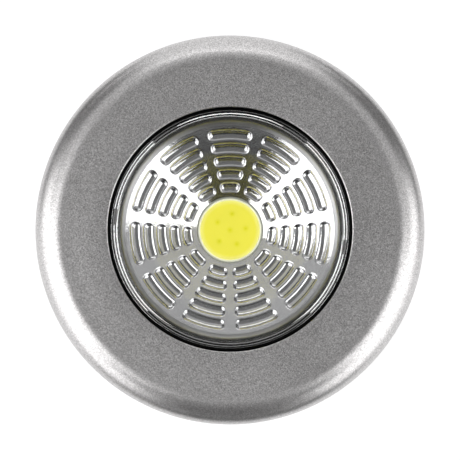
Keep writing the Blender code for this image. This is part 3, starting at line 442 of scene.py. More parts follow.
def twoSided(name, above, below, level, roughness, look):
    # One finish above a height and another below it, such as solder mask over aluminium
    material = mouldedFinish(name, above, 0, roughness, look)
    tree = material.node_tree
    shader = tree.nodes["Principled BSDF"]
    coords = tree.nodes["Texture Coordinate"].outputs["Object"]
    height = addNode(tree, "ShaderNodeSeparateXYZ", (-900, 400), None,
                     {"Vector": coords}).outputs["Z"]
    high = mapValue(tree, (-650, 400), height, level, level + 0.02 * mm, 0, 1)
    upper = shader.inputs["Base Color"].links[0].from_socket
    tree.links.new(mixColours(tree, (-250, 350), high, below, upper), shader.inputs["Base Color"])
    return material


cellLook = {
    "sleeve": (0.10, 0.17, 0.26),
    "band": (0.52, 0.54, 0.56),
    "metal": (0.62, 0.61, 0.58),
    "roughness": 0.32,
    "metallic": (0.15, 1),  # of the sleeve, and of the bare ends
    "bandStart": 12.0 * mm,
    "bandEnd": 15.0 * mm,
    "sleeveEnd": 20.6 * mm,
    "edge": 0.1 * mm,  # over which one colour gives way to the next
    "grainScale": 1800,
    "cloudScale": 90,
    "cloudShade": 0.85,
    "bumpHeight": 0.002 * mm,
}


def cellSleeve(name, capSide):
    # Bare metal ends, a plain sleeve and one pale band by the cap, read along the cell
    colour, edge = cellLook["sleeve"], cellLook["edge"]
    material, tree, shader, coords = newMaterial(name, colour, 0, cellLook["roughness"])
    across = addNode(tree, "ShaderNodeSeparateXYZ", (-950, 100), None,
                     {"Vector": coords}).outputs["Y"]
    along = addMath(tree, (-780, 100), "MULTIPLY", across, capSide)
    start, end, bareStart = cellLook["bandStart"], cellLook["bandEnd"], cellLook["sleeveEnd"]
    band = addMath(tree, (-400, 200), "MULTIPLY",
                   mapValue(tree, (-600, 300), along, start, start + edge, 0, 1),
                   mapValue(tree, (-600, 100), along, end, end + edge, 1, 0))
    far = addMath(tree, (-780, -150), "ABSOLUTE", across)
    bare = mapValue(tree, (-600, -150), far, bareStart, bareStart + edge, 0, 1)
    grain = addGroup(tree, grainGroup, (-900, -400), coords,
                     {"Fine Scale": cellLook["grainScale"], "Cloud Scale": cellLook["cloudScale"]})
    sleeve = mixColours(tree, (-400, -300), grain["Clouds"], colour,
                        shaded(colour, cellLook["cloudShade"]))
    banded = mixColours(tree, (-200, 100), band, sleeve, cellLook["band"])
    setInputs(tree, shader, {
        "Base Color": mixColours(tree, (0, 100), bare, banded, cellLook["metal"]),
        "Metallic": mapValue(tree, (0, -100), bare, 0, 1, *cellLook["metallic"])})
    addBump(tree, shader, (-200, -400), grain["Grain"], cellLook["bumpHeight"])
    return material


# Plain finishes: colour, metallic, roughness and look
metalLook = (5000, 260, 0.08, 0.06, 0.0015 * mm)  # drawn wire and stamped plate
plainFinishes = {
    "blackPlastic": ((0.022, 0.022, 0.024), 0, 0.48, (2600, 110, 0.12, 0.08, 0.012 * mm)),
    "whitePlastic": ((0.72, 0.72, 0.69), 0, 0.42, (2600, 140, 0.03, 0.06, 0.008 * mm)),
    "boardGreen": ((0.02, 0.17, 0.06), 0, 0.38, (1900, 300, 0.15, 0.06, 0.006 * mm)),
    "redSheath": ((0.55, 0.025, 0.02), 0, 0.42, (2400, 150, 0.08, 0.06, 0.005 * mm)),
    "blackSheath": ((0.018, 0.018, 0.019), 0, 0.42, (2400, 150, 0.12, 0.06, 0.005 * mm)),
    "resistorBlack": ((0.03, 0.03, 0.032), 0, 0.35, (3000, 400, 0.2, 0.08, 0.004 * mm)),
    "springSteel": ((0.58, 0.58, 0.59), 1, 0.28, metalLook),
    "screwSteel": ((0.50, 0.50, 0.51), 1, 0.33, metalLook),
    "nickelPlate": ((0.66, 0.63, 0.57), 1, 0.24, metalLook),
}
# Upper and lower colour, the height between them, roughness and look
layeredFinishes = {
    "padFoam": ((0.74, 0.74, 0.72), (0.80, 0.76, 0.60), 0.05 * mm, 0.85,
                (1400, 160, 0.05, 0.08, 0.06 * mm)),
    "solderMask": ((0.80, 0.81, 0.80), (0.60, 0.61, 0.62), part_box("led_board")[1].z - 0.08 * mm,
                   0.38, (1800, 120, 0.03, 0.06, 0.003 * mm)),
}
finishes = {
    "silverPaint": silverPaint(),
    "clearPlastic": clearPlastic(),
    "chromePlating": chromePlating(),
    "phosphorGel": phosphorGel(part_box("chip_phosphor")[1].z),
    "damSilicone": damSilicone(),
    "cellCapFront": cellSleeve("cellCapFront", -1),
    "cellCapRear": cellSleeve("cellCapRear", 1),
}
finishes.update((name, mouldedFinish(name, *values)) for name, values in plainFinishes.items())
finishes.update((name, twoSided(name, *values)) for name, values in layeredFinishes.items())
print("finishes made:", len(finishes))

# Shapes


def addSpun(bm, profile, steps, x=0, y=0):
    # A closed outline of (radius, height) in millimetres, spun once about the upright at x, y
    before = set(bm.verts)
    verts = [bm.verts.new(((x + r) * mm, y * mm, z * mm)) for r, z in profile]
    pairs = zip(verts, verts[1:] + verts[:1], profile, profile[1:] + profile[:1])
    edges = [bm.edges.new((a, b)) for a, b, first, second in pairs if first[0] + second[0] > 0]
    bmesh.ops.spin(bm, geom=verts + edges, axis=(0, 0, 1), cent=(x * mm, y * mm, 0),
                   dvec=(0, 0, 0), angle=2 * math.pi, steps=steps, use_merge=True)
    spun = [v for v in bm.verts if v not in before]
    bmesh.ops.remove_doubles(bm, verts=spun, dist=0.0001 * mm)
    return [v for v in bm.verts if v not in before]


def spunSolid(profile, steps):
    bm = bmesh.new()
    addSpun(bm, profile, steps)
    bmesh.ops.recalc_face_normals(bm, faces=bm.faces)
    return bm


def spunPlate(plate):
    low, high = plate["z"]
    radius = plate["radius"]
    bm = spunSolid([(0, high), (radius, high), (radius, low), (0, low)], plate["steps"])
    roundRing(bm, radius, low, *plate["lowRound"])
    roundRing(bm, radius, high, *plate["topRound"])
    return bm


def spunBlock(bm, outline, startAngle, sweep, steps):
    # A closed outline of (radius, height) swept part of the way round
    turn = Matrix.Rotation(math.radians(startAngle), 3, "Z")
    verts = [bm.verts.new(turn @ Vector((r * mm, 0, z * mm))) for r, z in outline]
    face = bm.faces.new(verts)
    bmesh.ops.spin(bm, geom=[face, *face.edges, *verts], axis=(0, 0, 1), cent=(0, 0, 0),
                   dvec=(0, 0, 0), angle=math.radians(sweep), steps=steps)


def bevelEdges(bm, edges, offset, segments):
    bmesh.ops.bevel(bm, geom=edges, offset=offset * mm, offset_type="OFFSET", segments=segments,
                    profile=0.5, affect="EDGES", material=-1)


def roundRing(bm, radius, height, offset, segments):
    def onRing(vert):
        return (abs(math.hypot(vert.co.x, vert.co.y) / mm - radius) < 0.002
                and abs(vert.co.z / mm - height) < 0.002)
    bevelEdges(bm, [e for e in bm.edges if all(onRing(v) for v in e.verts)], offset, segments)


def addObject(name, data, material=None):
    # data is a light, a camera or a bmesh, which becomes a mesh
    if isinstance(data, bmesh.types.BMesh):
        mesh = bpy.data.meshes.new(name)
        data.to_mesh(mesh)
        data.free()
        mesh.materials.append(material)
        data = mesh
    thing = bpy.data.objects.new(name, data)
    bpy.context.scene.collection.objects.link(thing)
    return thing


def finishPiece(bm, name, finish, body, replaced, sharpAngle=40):
    piece = addObject(name, bm, finishes[finish])
    piece.data.shade_smooth()
    piece.data.set_sharp_from_angle(angle=math.radians(sharpAngle))
    if body:
        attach(piece, body)
    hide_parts(replaced)
    return piece


ring = {
    "radius": 34.984,
    "topRadius": 34.784,
    "openingRadius": 21.8035,
    "lipZ": 26.6,
    "crownDrop": 0.4,
    "shoulder": 4.8,
    "shoulderSteps": 24,
    # rounds, as (size in mm, steps)
    "lipRound": (0.2, 5),
    "footRound": (0.5, 5),
    "wallRound": (0.25, 3),
    "roofRound": (3.0, 8),
    "footZ": 0.9,
    "wall": 1.8,
    "underZ": 24.6,
    "collar": (23.2035, 24.4035, 16.9),  # inner and outer radius, and its foot
    "joint": 0.1,  # how far the collar's long and short parts overlap
    "bosses": [(21.85, 17.0), (21.85, -17.0), (-21.85, 17.0), (-21.85, -17.0)],
    "bossProfile": (2.5, 1.25, 5.3, 14.3),  # outer and bore radius, foot and end of the bore
    "bossRoot": 0.2,  # how far a boss goes into the roof
    "boreRound": 0.2,
    "bossSteps": 40,
    "slot": (21.3, 3.13),  # top of the key's slot in the collar, and its half angle
    "collarSteps": 120,
    "bareReach": (0.1, 0.25, 0.02),  # how far past wall, roof and opening the paint is left out; past the opening the black is also painted shade
    "steps": 256,
}


def makeRing():
    side, top, opening = ring["radius"], ring["topRadius"], ring["openingRadius"]
    wall = ring["wall"]
    lipZ, underZ, footZ = ring["lipZ"], ring["underZ"], ring["footZ"]
    shoulderZ = lipZ - ring["crownDrop"]
    profile = [(opening, underZ), (opening, lipZ)]
    for share in (0.2, 0.4, 0.6, 0.8):  # the face falls away as a flat parabola
        reach = opening + (top - ring["shoulder"] - opening) * share
        profile.append((reach, lipZ - ring["crownDrop"] * share * share))
    collarIn, collarOut, collarZ = ring["collar"]
    slotZ, halfSlot = ring["slot"]
    profile += [(top, shoulderZ), (side, footZ), (side - wall, footZ), (top - wall, underZ),
                (collarOut, underZ), (collarOut, slotZ), (collarIn, slotZ), (collarIn, underZ)]
    bm = spunSolid(profile, ring["steps"])
    roundRing(bm, top, shoulderZ, ring["shoulder"], ring["shoulderSteps"])
    roundRing(bm, opening, lipZ, *ring["lipRound"])
    roundRing(bm, side, footZ, *ring["footRound"])
    roundRing(bm, side - wall, footZ, *ring["wallRound"])
    roundRing(bm, top - wall, underZ, *ring["roofRound"])
    jointZ = slotZ + ring["joint"]
    spunBlock(bm, [(collarIn, jointZ), (collarOut, jointZ), (collarOut, collarZ),
                   (collarIn, collarZ)], 180 + halfSlot, 360 - 2 * halfSlot, ring["collarSteps"])
    outer, bore, foot, boreEnd = ring["bossProfile"]
    rootZ, edge = underZ + ring["bossRoot"], ring["boreRound"]
    boss = [(0, rootZ), (outer, rootZ), (outer, foot), (bore + edge, foot), (bore, foot + edge),
            (bore, boreEnd), (0, boreEnd)]
    for x, y in ring["bosses"]:
        addSpun(bm, boss, ring["bossSteps"], x, y)
    bmesh.ops.recalc_face_normals(bm, faces=bm.faces)
    lipLow = lipZ - ring["lipRound"][0]
    pastWall, pastRoof, pastLip = ring["bareReach"]

    def bareAndShadeShare(radius, height):
        inside = radius < top - wall + pastWall and height < underZ + pastRoof
        # the opening's wall below the lip is black: bare plastic, and painted shade of the deep gap
        paintedShadeThroat = radius < opening + pastLip and height < lipLow + pastLip
        return 1.0 if inside or paintedShadeThroat else 0.0
    maskBareAndShade(bm, bareAndShadeShare)
    finishPiece(bm, "painted_ring", "silverPaint", "housing", "front_bezel",
                sharpAngle=35)


lens = {
    "radius": 21.2535,
    "topZ": 26.2,
    "underZ": 24.6,
    "dome": 0.2,
    "flangeRadius": 22.8035,
    "flangeZ": (23.1, 24.3),
    "skirtRadius": 20.3535,
    # rounds, as (size in mm, steps)
    "edgeRound": (0.16, 5),
    "neckRound": (0.12, 3),
    "flangeRound": (0.15, 3),
    "skirtRound": (0.1, 3),
    "underRound": (0.2, 4),
    # two hollow rings, the step between them and a groove, as (radius, drop)
    "edge": [(20.06, 0), (20.26, 0.10), (20.46, 0), (20.54, 0.17), (20.72, 0.26),
             (20.90, 0.17), (20.97, 0.36), (21.04, 0.22)],
    "steps": 256,
}


def makeLens():
    side, flange, skirt = lens["radius"], lens["flangeRadius"], lens["skirtRadius"]
    low, high = lens["flangeZ"]
    underZ = lens["underZ"]

    def topZ(radius):
        return lens["topZ"] + lens["dome"] * (1 - (radius / side) ** 2)
    profile = [(side * share, topZ(side * share)) for share in (0, 0.2, 0.4, 0.6, 0.8, 0.9)]
    profile += [(radius, topZ(radius) - drop) for radius, drop in lens["edge"]]
    landZ = profile[-1][1]
    profile += [(side, landZ), (side, high), (flange, high), (flange, low), (skirt, low),
                (skirt, underZ), (0, underZ)]
    bm = spunSolid(profile, lens["steps"])
    roundRing(bm, side, landZ, *lens["edgeRound"])
    roundRing(bm, side, high, *lens["neckRound"])
    roundRing(bm, flange, high, *lens["flangeRound"])
    roundRing(bm, flange, low, *lens["flangeRound"])
    roundRing(bm, skirt, low, *lens["skirtRound"])
    roundRing(bm, skirt, underZ, *lens["underRound"])
    finishPiece(bm, "push_lens", "clearPlastic", "push_module", "lens",
                sharpAngle=35)


dish = {
    "holeRadius": 6.04,
    "holeZ": 18.4,
    "slope": 20.5,
    "rimInner": 19.4535,
    "rimOuter": 20.0535,
    "rimTopZ": 24.2,
    "rimFall": 0.25,  # the rim's top leans outwards
    "fillet": 0.45,
    "filletSteps": 6,
    # rounds, as (size in mm, steps)
    "rimInnerRound": (0.135, 4),
    "rimOuterRound": (0.27, 4),
    "rimFoot": (0.5, 6),
    "flangeRound": (0.25, 4),
    "flangeRadius": 21.2535,
    "flangeZ": (22.0, 22.8),
    "wall": 0.9,
    "lip": 0.4,
    "columns": 11,
    "rows": 5,
    "firstRadius": 7.801,
    "pitch": 2.3217,
    "width": 1.862,
    "halfAngle": 13.0,
    "corner": 0.85,
    "depth": 0.38,
    "hollow": 2.6,  # 2 is a round trough, and more gives a flatter floor
    "bosses": [(5.4, 9.122), (-5.4, -9.122)],  # for the board's screws
    "bossProfile": (1.8, 1.1, 18.0, 18.96),  # outer and bore radius, foot and end of the bore
    "bossRoot": 0.55,  # how far below the cone's face a boss ends, inside its wall
    "bossSteps": 40,
    "bareDepth": 0.7,  # under the cone's face, where the plating ends
    "steps": 616,
    "rings": 124,
}


def coneZ(radius):
    return dish["holeZ"] + (radius - dish["holeRadius"]) * math.tan(math.radians(dish["slope"]))


def grooveShare(x, y):
    # 1 along the middle of a groove, 0 on the bare cone, and a hollow between
    radius = math.hypot(x, y)
    pitchAngle = 2 * math.pi / dish["columns"]
    turn = math.atan2(x, y)
    off = abs(turn - round(turn / pitchAngle) * pitchAngle)
    row = min(max(round((radius - dish["firstRadius"]) / dish["pitch"]), 0), dish["rows"] - 1)
    middle = dish["firstRadius"] + dish["pitch"] * row
    half = math.radians(dish["halfAngle"]) * middle
    across = abs(radius - middle) - dish["width"] / 2 + dish["corner"]
    along = off * middle - half + dish["corner"]
    outside = math.hypot(max(across, 0), max(along, 0)) + min(max(across, along), 0)
    share = (dish["corner"] - outside) / (dish["width"] / 2)
    share = min(max(share, 0), 1)
    return 1 - (1 - share) ** dish["hollow"]


def makeDish():
    slope, hole, holeZ = math.radians(dish["slope"]), dish["holeRadius"], dish["holeZ"]
    inner, outer, flange = dish["rimInner"], dish["rimOuter"], dish["flangeRadius"]
    low, high = dish["flangeZ"]
    rimZ, lipZ = dish["rimTopZ"], holeZ - dish["lip"]
    fallenZ, cornerZ = rimZ - dish["rimFall"], coneZ(inner)
    drop = dish["wall"] / math.cos(slope)  # the wall's thickness, measured upright
    meet = hole + (low + drop - holeZ) / math.tan(slope)
    under = hole + (drop - dish["lip"]) / math.tan(slope)
    bm = spunSolid([(hole, holeZ), (inner, cornerZ), (inner, rimZ), (outer, fallenZ),
                    (outer, high), (flange, high), (flange, low), (meet, low), (under, lipZ),
                    (hole, lipZ)], dish["steps"])
    offset = dish["fillet"] * math.tan((math.pi / 2 - slope) / 2)
    roundRing(bm, inner, cornerZ, offset, dish["filletSteps"])
    roundRing(bm, inner, rimZ, *dish["rimInnerRound"])
    roundRing(bm, outer, fallenZ, *dish["rimOuterRound"])
    roundRing(bm, outer, high, *dish["rimFoot"])
    roundRing(bm, flange, high, *dish["flangeRound"])
    coneEnd = inner - offset * math.cos(slope)

    def onCone(vert):
        radius = math.hypot(vert.co.x, vert.co.y) / mm
        return (hole - 0.01 < radius < coneEnd + 0.01
                and abs(vert.co.z / mm - coneZ(radius)) < 0.01)
    radial = [e for e in bm.edges if all(onCone(v) for v in e.verts)
              and abs(e.verts[0].co.z - e.verts[1].co.z) > mm]
    bmesh.ops.subdivide_edges(bm, edges=radial, cuts=dish["rings"], use_grid_fill=True)
    for vert in bm.verts:
        if not onCone(vert):
            continue
        depth = dish["depth"] * mm * grooveShare(vert.co.x / mm, vert.co.y / mm)
        outward = Vector((vert.co.x, vert.co.y, 0)).normalized()
        vert.co += depth * (outward * math.sin(slope) - Vector((0, 0, math.cos(slope))))
    bossRadius, bore, foot, boreEnd = dish["bossProfile"]
    bossTop = boreEnd + 1  # for now, and then it follows the cone
    boss = [(0, bossTop), (bossRadius, bossTop), (bossRadius, foot), (bore, foot),
            (bore, boreEnd), (0, boreEnd)]
    for x, y in dish["bosses"]:
        for vert in addSpun(bm, boss, dish["bossSteps"], x, y):
            if vert.co.z > (bossTop - 0.5) * mm:
                above = coneZ(math.hypot(vert.co.x, vert.co.y) / mm)
                vert.co.z = (above - dish["bossRoot"]) * mm
    bmesh.ops.recalc_face_normals(bm, faces=bm.faces)

    def bareAndShadeShare(radius, height):
        below = height < min(coneZ(radius) - dish["bareDepth"], high - 0.02)
        return 1.0 if below and radius > hole + 0.1 else 0.0
    maskBareAndShade(bm, bareAndShadeShare)
    finishPiece(bm, "chrome_dish", "chromePlating", "push_module", "reflector",
                sharpAngle=50)


chip = {
    "radius": 5.74,
    "damWall": 0.3,
    "damRound": (0.14, 4),  # size in mm, steps
    "lowZ": 17.8,
    "topZ": 18.4,
    "fillGap": 0.1,
    "fillDrop": 0.05,
    "fillMiddle": 0.7,  # share of the fill's radius where its faces get smaller
    "fillRound": (0.1, 3),
    "steps": 128,
}


def makeChip():
    outer, low, high = chip["radius"], chip["lowZ"], chip["topZ"]
    inner = outer - chip["damWall"]
    bm = spunSolid([(inner, high), (outer, high), (outer, low), (inner, low)], chip["steps"])
    roundRing(bm, inner, high, *chip["damRound"])
    roundRing(bm, outer, high, *chip["damRound"])
    finishPiece(bm, "silicone_dam", "damSilicone", "push_module", "chip_dam")
    fill, top = inner - chip["fillGap"], high - chip["fillDrop"]
    bm = spunSolid([(0, top), (chip["fillMiddle"] * fill, top), (fill, top), (fill, low),
                    (0, low)], chip["steps"])
    roundRing(bm, fill, top, *chip["fillRound"])
    finishPiece(bm, "phosphor_disc", "phosphorGel", "push_module", "chip_phosphor")


cover = {
    "radius": 32.584,
    "z": (0.9, 2.1),
    "lowRound": (0.35, 4),  # rounds, as (size in mm, steps)
    "topRound": (0.15, 2),
    "gripRound": (0.15, 2),
    "steps": 192,
    "postRadius": 28.184,
    "postWidth": 0.9,
    "reach": 1.4,
    "tabZ": (4.1, 5.2),
    "hookRoot": 0.2,  # how far a hook goes into the plate
    "hookAngle": 12.0,
    "hookStart": -16.0,
    "hookCount": 4,
    "hookSteps": 6,
    "gripRadius": 28.484,
    "gripSize": (5.0, 0.8, 0.4),
    "gripAngle": 4.0,
    "gripCount": 5,
}


def makeCover():
    bm = spunPlate(cover)
    low, high = cover["z"]
    inner, outer = cover["postRadius"], cover["postRadius"] + cover["postWidth"]
    tip, rootZ = outer + cover["reach"], high - cover["hookRoot"]
    tabLow, tabHigh = cover["tabZ"]
    hook = [(inner, rootZ), (outer, rootZ), (outer, tabLow), (tip, tabLow), (tip, tabHigh),
            (inner, tabHigh)]
    for i in range(cover["hookCount"]):
        spunBlock(bm, hook, cover["hookStart"] + 360 / cover["hookCount"] * i,
                  cover["hookAngle"], cover["hookSteps"])
    length, width, height = cover["gripSize"]
    for side in (90, -90):
        for i in range(cover["gripCount"]):
            angle = side + cover["gripAngle"] * (i - (cover["gripCount"] - 1) / 2)
            block = bmesh.ops.create_cube(bm, size=1)["verts"]
            bmesh.ops.scale(bm, verts=block, vec=(length * mm, width * mm, 2 * height * mm))
            bmesh.ops.translate(bm, verts=block, vec=(cover["gripRadius"] * mm, 0, low * mm))
            bmesh.ops.rotate(bm, verts=block, cent=(0, 0, 0),
                             matrix=Matrix.Rotation(math.radians(angle), 3, "Z"))
            bevelEdges(bm, list({e for v in block for e in v.link_edges}), *cover["gripRound"])
    bmesh.ops.recalc_face_normals(bm, faces=bm.faces)
    finishPiece(bm, "twist_cover", "blackPlastic", "battery_cover", "battery_cover")


pad = {
    "radius": 22.984,
    "z": (0.0, 0.8),
    "lowRound": (0.08, 2),
    "topRound": (0.12, 2),
    "steps": 160,
}


def makePad():
    finishPiece(spunPlate(pad), "foam_pad", "padFoam", "battery_cover", "adhesive_pad")


spring = {
    "places": [(19.55, 8.0), (-19.55, 8.0), (-19.55, -8.0), (19.55, -8.0)],
    "z": (9.34, 16.6),
    "radius": 1.575,  # to the middle of the wire
    "wire": 0.225,
    "turns": (0.8, 0.5, 3.7),  # closed turns at an end, their rise in mm, open turns
    "travel": 1.8,
    "sides": 10,
    "stepsPerTurn": 32,
}


def makeSprings():
    low, high = spring["z"]
    closed, rise, opened = spring["turns"]
    openRise = high - low - 2 * spring["wire"] - 2 * rise
    for number, (x, y) in enumerate(spring["places"], 1):
        bm = bmesh.new()
        section = bmesh.ops.create_circle(bm, segments=spring["sides"],
                                          radius=spring["wire"] * mm, cap_ends=True)["verts"]
        bmesh.ops.rotate(bm, verts=section, matrix=Matrix.Rotation(math.pi / 2, 3, "X"))
        bmesh.ops.translate(bm, verts=section, vec=((x + spring["radius"]) * mm, y * mm,
                                                    (low + spring["wire"]) * mm))
        geom = [*bm.verts, *bm.edges, *bm.faces]
        for turns, climb in ((closed, rise), (opened, openRise), (closed, rise)):
            steps = round(turns * spring["stepsPerTurn"])
            geom = bmesh.ops.spin(bm, geom=geom, axis=(0, 0, 1), cent=(x * mm, y * mm, 0),
                                  dvec=(0, 0, climb * mm / steps),
                                  angle=2 * math.pi * turns, steps=steps)["geom_last"]
        bmesh.ops.recalc_face_normals(bm, faces=bm.faces)
        name = f"return_spring_{number}"
        piece = finishPiece(bm, f"coil_{number}", "springSteel", "push_module", name,
                            sharpAngle=60)
        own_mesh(piece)


sheath = {
    "startZ": 16.2,  # up here it moves with the lens
    "endZ": 7.2,  # and from here down it stays
    "finishes": {"red": "redSheath", "black": "blackSheath"},
}


def makeLedWires():
    # Each wire runs between the board that moves with the lens and the board that stays, as one
    # fixed mesh
    for colour, finish in sheath["finishes"].items():
        name = f"led_wire_{colour}"
        bm = bmesh.new()
        bm.from_mesh(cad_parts[name].data)
        bmesh.ops.remove_doubles(bm, verts=bm.verts, dist=0.001 * mm)
        bmesh.ops.recalc_face_normals(bm, faces=bm.faces)
        piece = finishPiece(bm, f"{colour}_led_sheath", finish, None, name,
                            sharpAngle=60)
        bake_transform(piece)


makeRing()
makeLens()
makeDish()
makeChip()
makeCover()
makePad()
makeSprings()
makeLedWires()
print("new pieces made")

# CAD pieces that stay as they are get a finish each
carried = {
    "solderMask": ["led_board"],
    "blackPlastic": ["push_carrier", "battery_chassis"],
    "screwSteel": ["board_screw_1", "board_screw_2", "chassis_screw_1", "chassis_screw_2",
                   "chassis_screw_3", "chassis_screw_4"],
    "redSheath": ["battery_wire_red"],
    "blackSheath": ["battery_wire_black"],
    "cellCapFront": ["battery_cell_1", "battery_cell_3"],
    "cellCapRear": ["battery_cell_2"],
    "nickelPlate": ["contact_positive", "contact_negative", "contact_link_front",
                    "contact_link_rear"],
    "whitePlastic": ["switch_body", "switch_stem"],
    "boardGreen": ["switch_board"],
    "resistorBlack": ["series_resistor"],
}
for finish, names in carried.items():
    for name in names:
        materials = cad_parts[name].data.materials
        materials.clear()
        materials.append(finishes[finish])
print("carried pieces dressed:", sum(len(names) for names in carried.values()))

# Studio: a white floor, softboxes left and right, a grey backdrop and a dim tent

studio = {
    "tentRadius": 1.6,
    "tent": 0.03,  # radiance of the cloth all over, and of its far side
    "tentBack": 0.53,
    "tentTop": (0.165, 0.95, 1.50),  # what the crown adds, and the heights where it sets in
    "tentBackFrom": (-0.65, -0.1),  # along Y
    "tentBackHeights": (0.6, 1.0, 1.28, 1.5),
    "floorReach": 3,
    "floorZ": -0.1 * mm,
    "floorDiffuse": (0.25, 0.25, 0.25),
    "floorShownPaintedShade": (0.86, 1.0, 0.12, 0.5),  # near the object, far off, and where it changes; the floor shines less near the object as painted shade
    "lamps": [
        # name, azimuth clockwise from the top of the picture, zenith, distance, width,
        # height, radiance
        ("rightLow", 113, 72, 0.62, 0.88, 0.38, 2.3),
        ("rightHigh", 118, 42, 0.62, 0.31, 0.34, 2.6),
        ("leftLow", 250, 72, 0.62, 0.94, 0.38, 2.4),
        ("leftHigh", 250, 41, 0.62, 0.44, 0.38, 2.6),
        ("backdropLight", 0, 72, 0.80, 0.85, 0.50, 1.15),
        ("backStrip", 0, 54, 0.78, 0.62, 0.10, 1.7),
    ],
    "flag": (180, 60, 0.50, 0.47, 0.54),  # azimuth, zenith, distance, width, height
    # dark card sheets on the floor are painted shade in the metal: they cast no shade, and only
    # mirror in
    # the metal: azimuth, near side, far side, width
    "paintedShadeCards": [(180, 0.068, 0.42, 0.20), (55, 0.072, 0.42, 0.12), (305, 0.072, 0.42, 0.10)],
    "cardZ": 0.1 * mm,
    "flagCloth": (0.01, 0.01, 0.01),
    "lowFill": (0.35, 0.60, 1.5),  # depth under the floor, width, radiance
}


def seenDirectly(tree, paths):
    # 1 for what the camera, a mirror or glass sees, and 0 for what only gets lit
    seen = addMath(tree, (-600, 100), "MAXIMUM", paths["Is Camera Ray"], paths["Is Glossy Ray"])
    return addMath(tree, (-400, 100), "MAXIMUM", seen, paths["Is Transmission Ray"])


def makeFloor():
    bm = bmesh.new()
    bmesh.ops.create_grid(bm, x_segments=1, y_segments=1, size=studio["floorReach"])
    bmesh.ops.translate(bm, verts=bm.verts, vec=(0, 0, studio["floorZ"]))
    material, tree, shader, coords = newMaterial("floorPaper", studio["floorDiffuse"], 0, 1)
    paths = addNode(tree, "ShaderNodeLightPath", (-900, 0)).outputs
    near, far, start, end = studio["floorShownPaintedShade"]
    # dimmer near the object: painted shade, seen in the metal's reflection of the floor
    shownPaintedShade = radialValue(tree, (-900, 300), coords, start, end, near, far, True)
    # nothing of it shows from below, and the low fill shines through
    sides = addNode(tree, "ShaderNodeNewGeometry", (-900, -300)).outputs
    gone = addMath(tree, (-600, -300), "MAXIMUM", sides["Backfacing"], paths["Is Shadow Ray"])
    setInputs(tree, shader, {
        "Specular IOR Level": 0,
        "Emission Color": white,
        "Emission Strength": addMath(tree, (-100, 200), "MULTIPLY", shownPaintedShade,
                                     seenDirectly(tree, paths)),
        "Alpha": mapValue(tree, (-300, -300), gone, 0, 1, 1, 0)})
    addObject("floor", bm, material)


def makeTent():
    bm = bmesh.new()
    bmesh.ops.create_uvsphere(bm, u_segments=48, v_segments=24, radius=studio["tentRadius"])
    buried = [v for v in bm.verts if v.co.z < -0.01]
    bmesh.ops.delete(bm, geom=buried, context="VERTS")
    material, tree, shader, coords = newMaterial("tentCloth", (0, 0, 0), 0, 1)
    split = addNode(tree, "ShaderNodeSeparateXYZ", (-900, 0), None, {"Vector": coords}).outputs
    low, lowFull, highFull, high = studio["tentBackHeights"]
    band = addMath(tree, (-450, -250), "MULTIPLY",
                   mapValue(tree, (-650, -150), split["Z"], low, lowFull, 0, 1, True),
                   mapValue(tree, (-650, -400), split["Z"], highFull, high, 1, 0, True))
    behind = mapValue(tree, (-650, 100), split["Y"], *studio["tentBackFrom"], 0, 1, True)
    back = addMath(tree, (-300, 0), "MULTIPLY", behind, band)
    crown, start, full = studio["tentTop"]
    setInputs(tree, shader, {
        "Emission Color": white,
        "Emission Strength": addMath(
            tree, (100, 0), "ADD",
            mapValue(tree, (-100, 0), back, 0, 1, studio["tent"], studio["tentBack"]),
            mapValue(tree, (-650, -650), split["Z"], start, full, 0, crown, True))})
    tent = addObject("tent", bm, material)
    tent.visible_camera = False


def aim(thing, azimuth, zenith, distance):
    # Hangs it round the light, facing it
    turn, lean = math.radians(azimuth), math.radians(zenith)
    towards = Vector((math.sin(turn) * math.sin(lean), math.cos(turn) * math.sin(lean),
                      math.cos(lean)))
    thing.location = towards * distance
    thing.rotation_mode = "QUATERNION"
    thing.rotation_quaternion = towards.to_track_quat("Z", "Y")


def addSheet(name, width, height, cloth):
    bm = bmesh.new()
    corners = bmesh.ops.create_grid(bm, x_segments=1, y_segments=1, size=0.5)["verts"]
    bmesh.ops.scale(bm, verts=corners, vec=(width, height, 1))
    sheet = addObject(name, bm, cloth)
    sheet.visible_camera = False
    return sheet


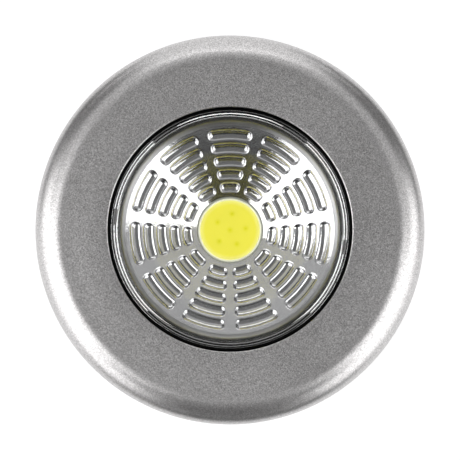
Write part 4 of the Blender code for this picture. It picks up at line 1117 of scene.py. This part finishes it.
def makeFlags():
    cloth = newMaterial("flagCloth", studio["flagCloth"], 0, 1)[0]
    azimuth, zenith, distance, width, height = studio["flag"]
    aim(addSheet("flag", width, height, cloth), azimuth, zenith, distance)
    for number, (azimuth, near, far, width) in enumerate(studio["paintedShadeCards"], 1):
        # each sheet is painted shade, seen only in the metal
        card = addSheet(f"card_{number}", width, far - near, cloth)
        card.visible_diffuse = card.visible_shadow = False
        turn, reach = math.radians(azimuth), (near + far) / 2
        card.location = (reach * math.sin(turn), reach * math.cos(turn), studio["cardZ"])
        card.rotation_euler = (0, 0, -turn)


def addLamp(name, width, height, radiance):
    light = bpy.data.lights.new(name, "AREA")
    light.shape = "RECTANGLE"
    light.size, light.size_y = width, height
    light.energy = radiance * math.pi * width * height
    lamp = addObject(name, light)
    lamp.visible_camera = False
    return lamp


def makeLamps():
    for name, azimuth, zenith, distance, width, height, radiance in studio["lamps"]:
        aim(addLamp(name, width, height, radiance), azimuth, zenith, distance)
    depth, width, radiance = studio["lowFill"]
    lowFill = addLamp("lowFill", width, width, radiance)
    lowFill.location = (0, 0, -depth)
    lowFill.rotation_euler = (math.pi, 0, 0)


def makeWorld():
    world = bpy.data.worlds.new("room")
    bpy.context.scene.world = world
    world.use_nodes = True
    tree = world.node_tree
    paths = addNode(tree, "ShaderNodeLightPath", (-900, 0)).outputs
    setInputs(tree, tree.nodes["Background"], {"Color": white,
                                               "Strength": seenDirectly(tree, paths)})


# in metres, but the tilt is in degrees and the sensor in millimetres
view = {"distance": 0.90, "tilt": 1.2, "width": 82.45 * mm, "aimZ": 20 * mm, "sensor": 36}


def makeCamera():
    data = bpy.data.cameras.new("camera")
    data.sensor_width = view["sensor"]
    data.lens = view["sensor"] * view["distance"] / view["width"]
    data.clip_start, data.clip_end = 0.01, 10
    camera = addObject("camera", data)
    tilt = math.radians(view["tilt"])
    camera.location = (0, -view["distance"] * math.sin(tilt),
                       view["aimZ"] + view["distance"] * math.cos(tilt))
    camera.rotation_euler = (tilt, 0, 0)
    bpy.context.scene.camera = camera


makeFloor()
makeTent()
makeFlags()
makeLamps()
makeWorld()
makeCamera()
bpy.context.scene.view_settings.view_transform = "Standard"
print("studio and camera set")
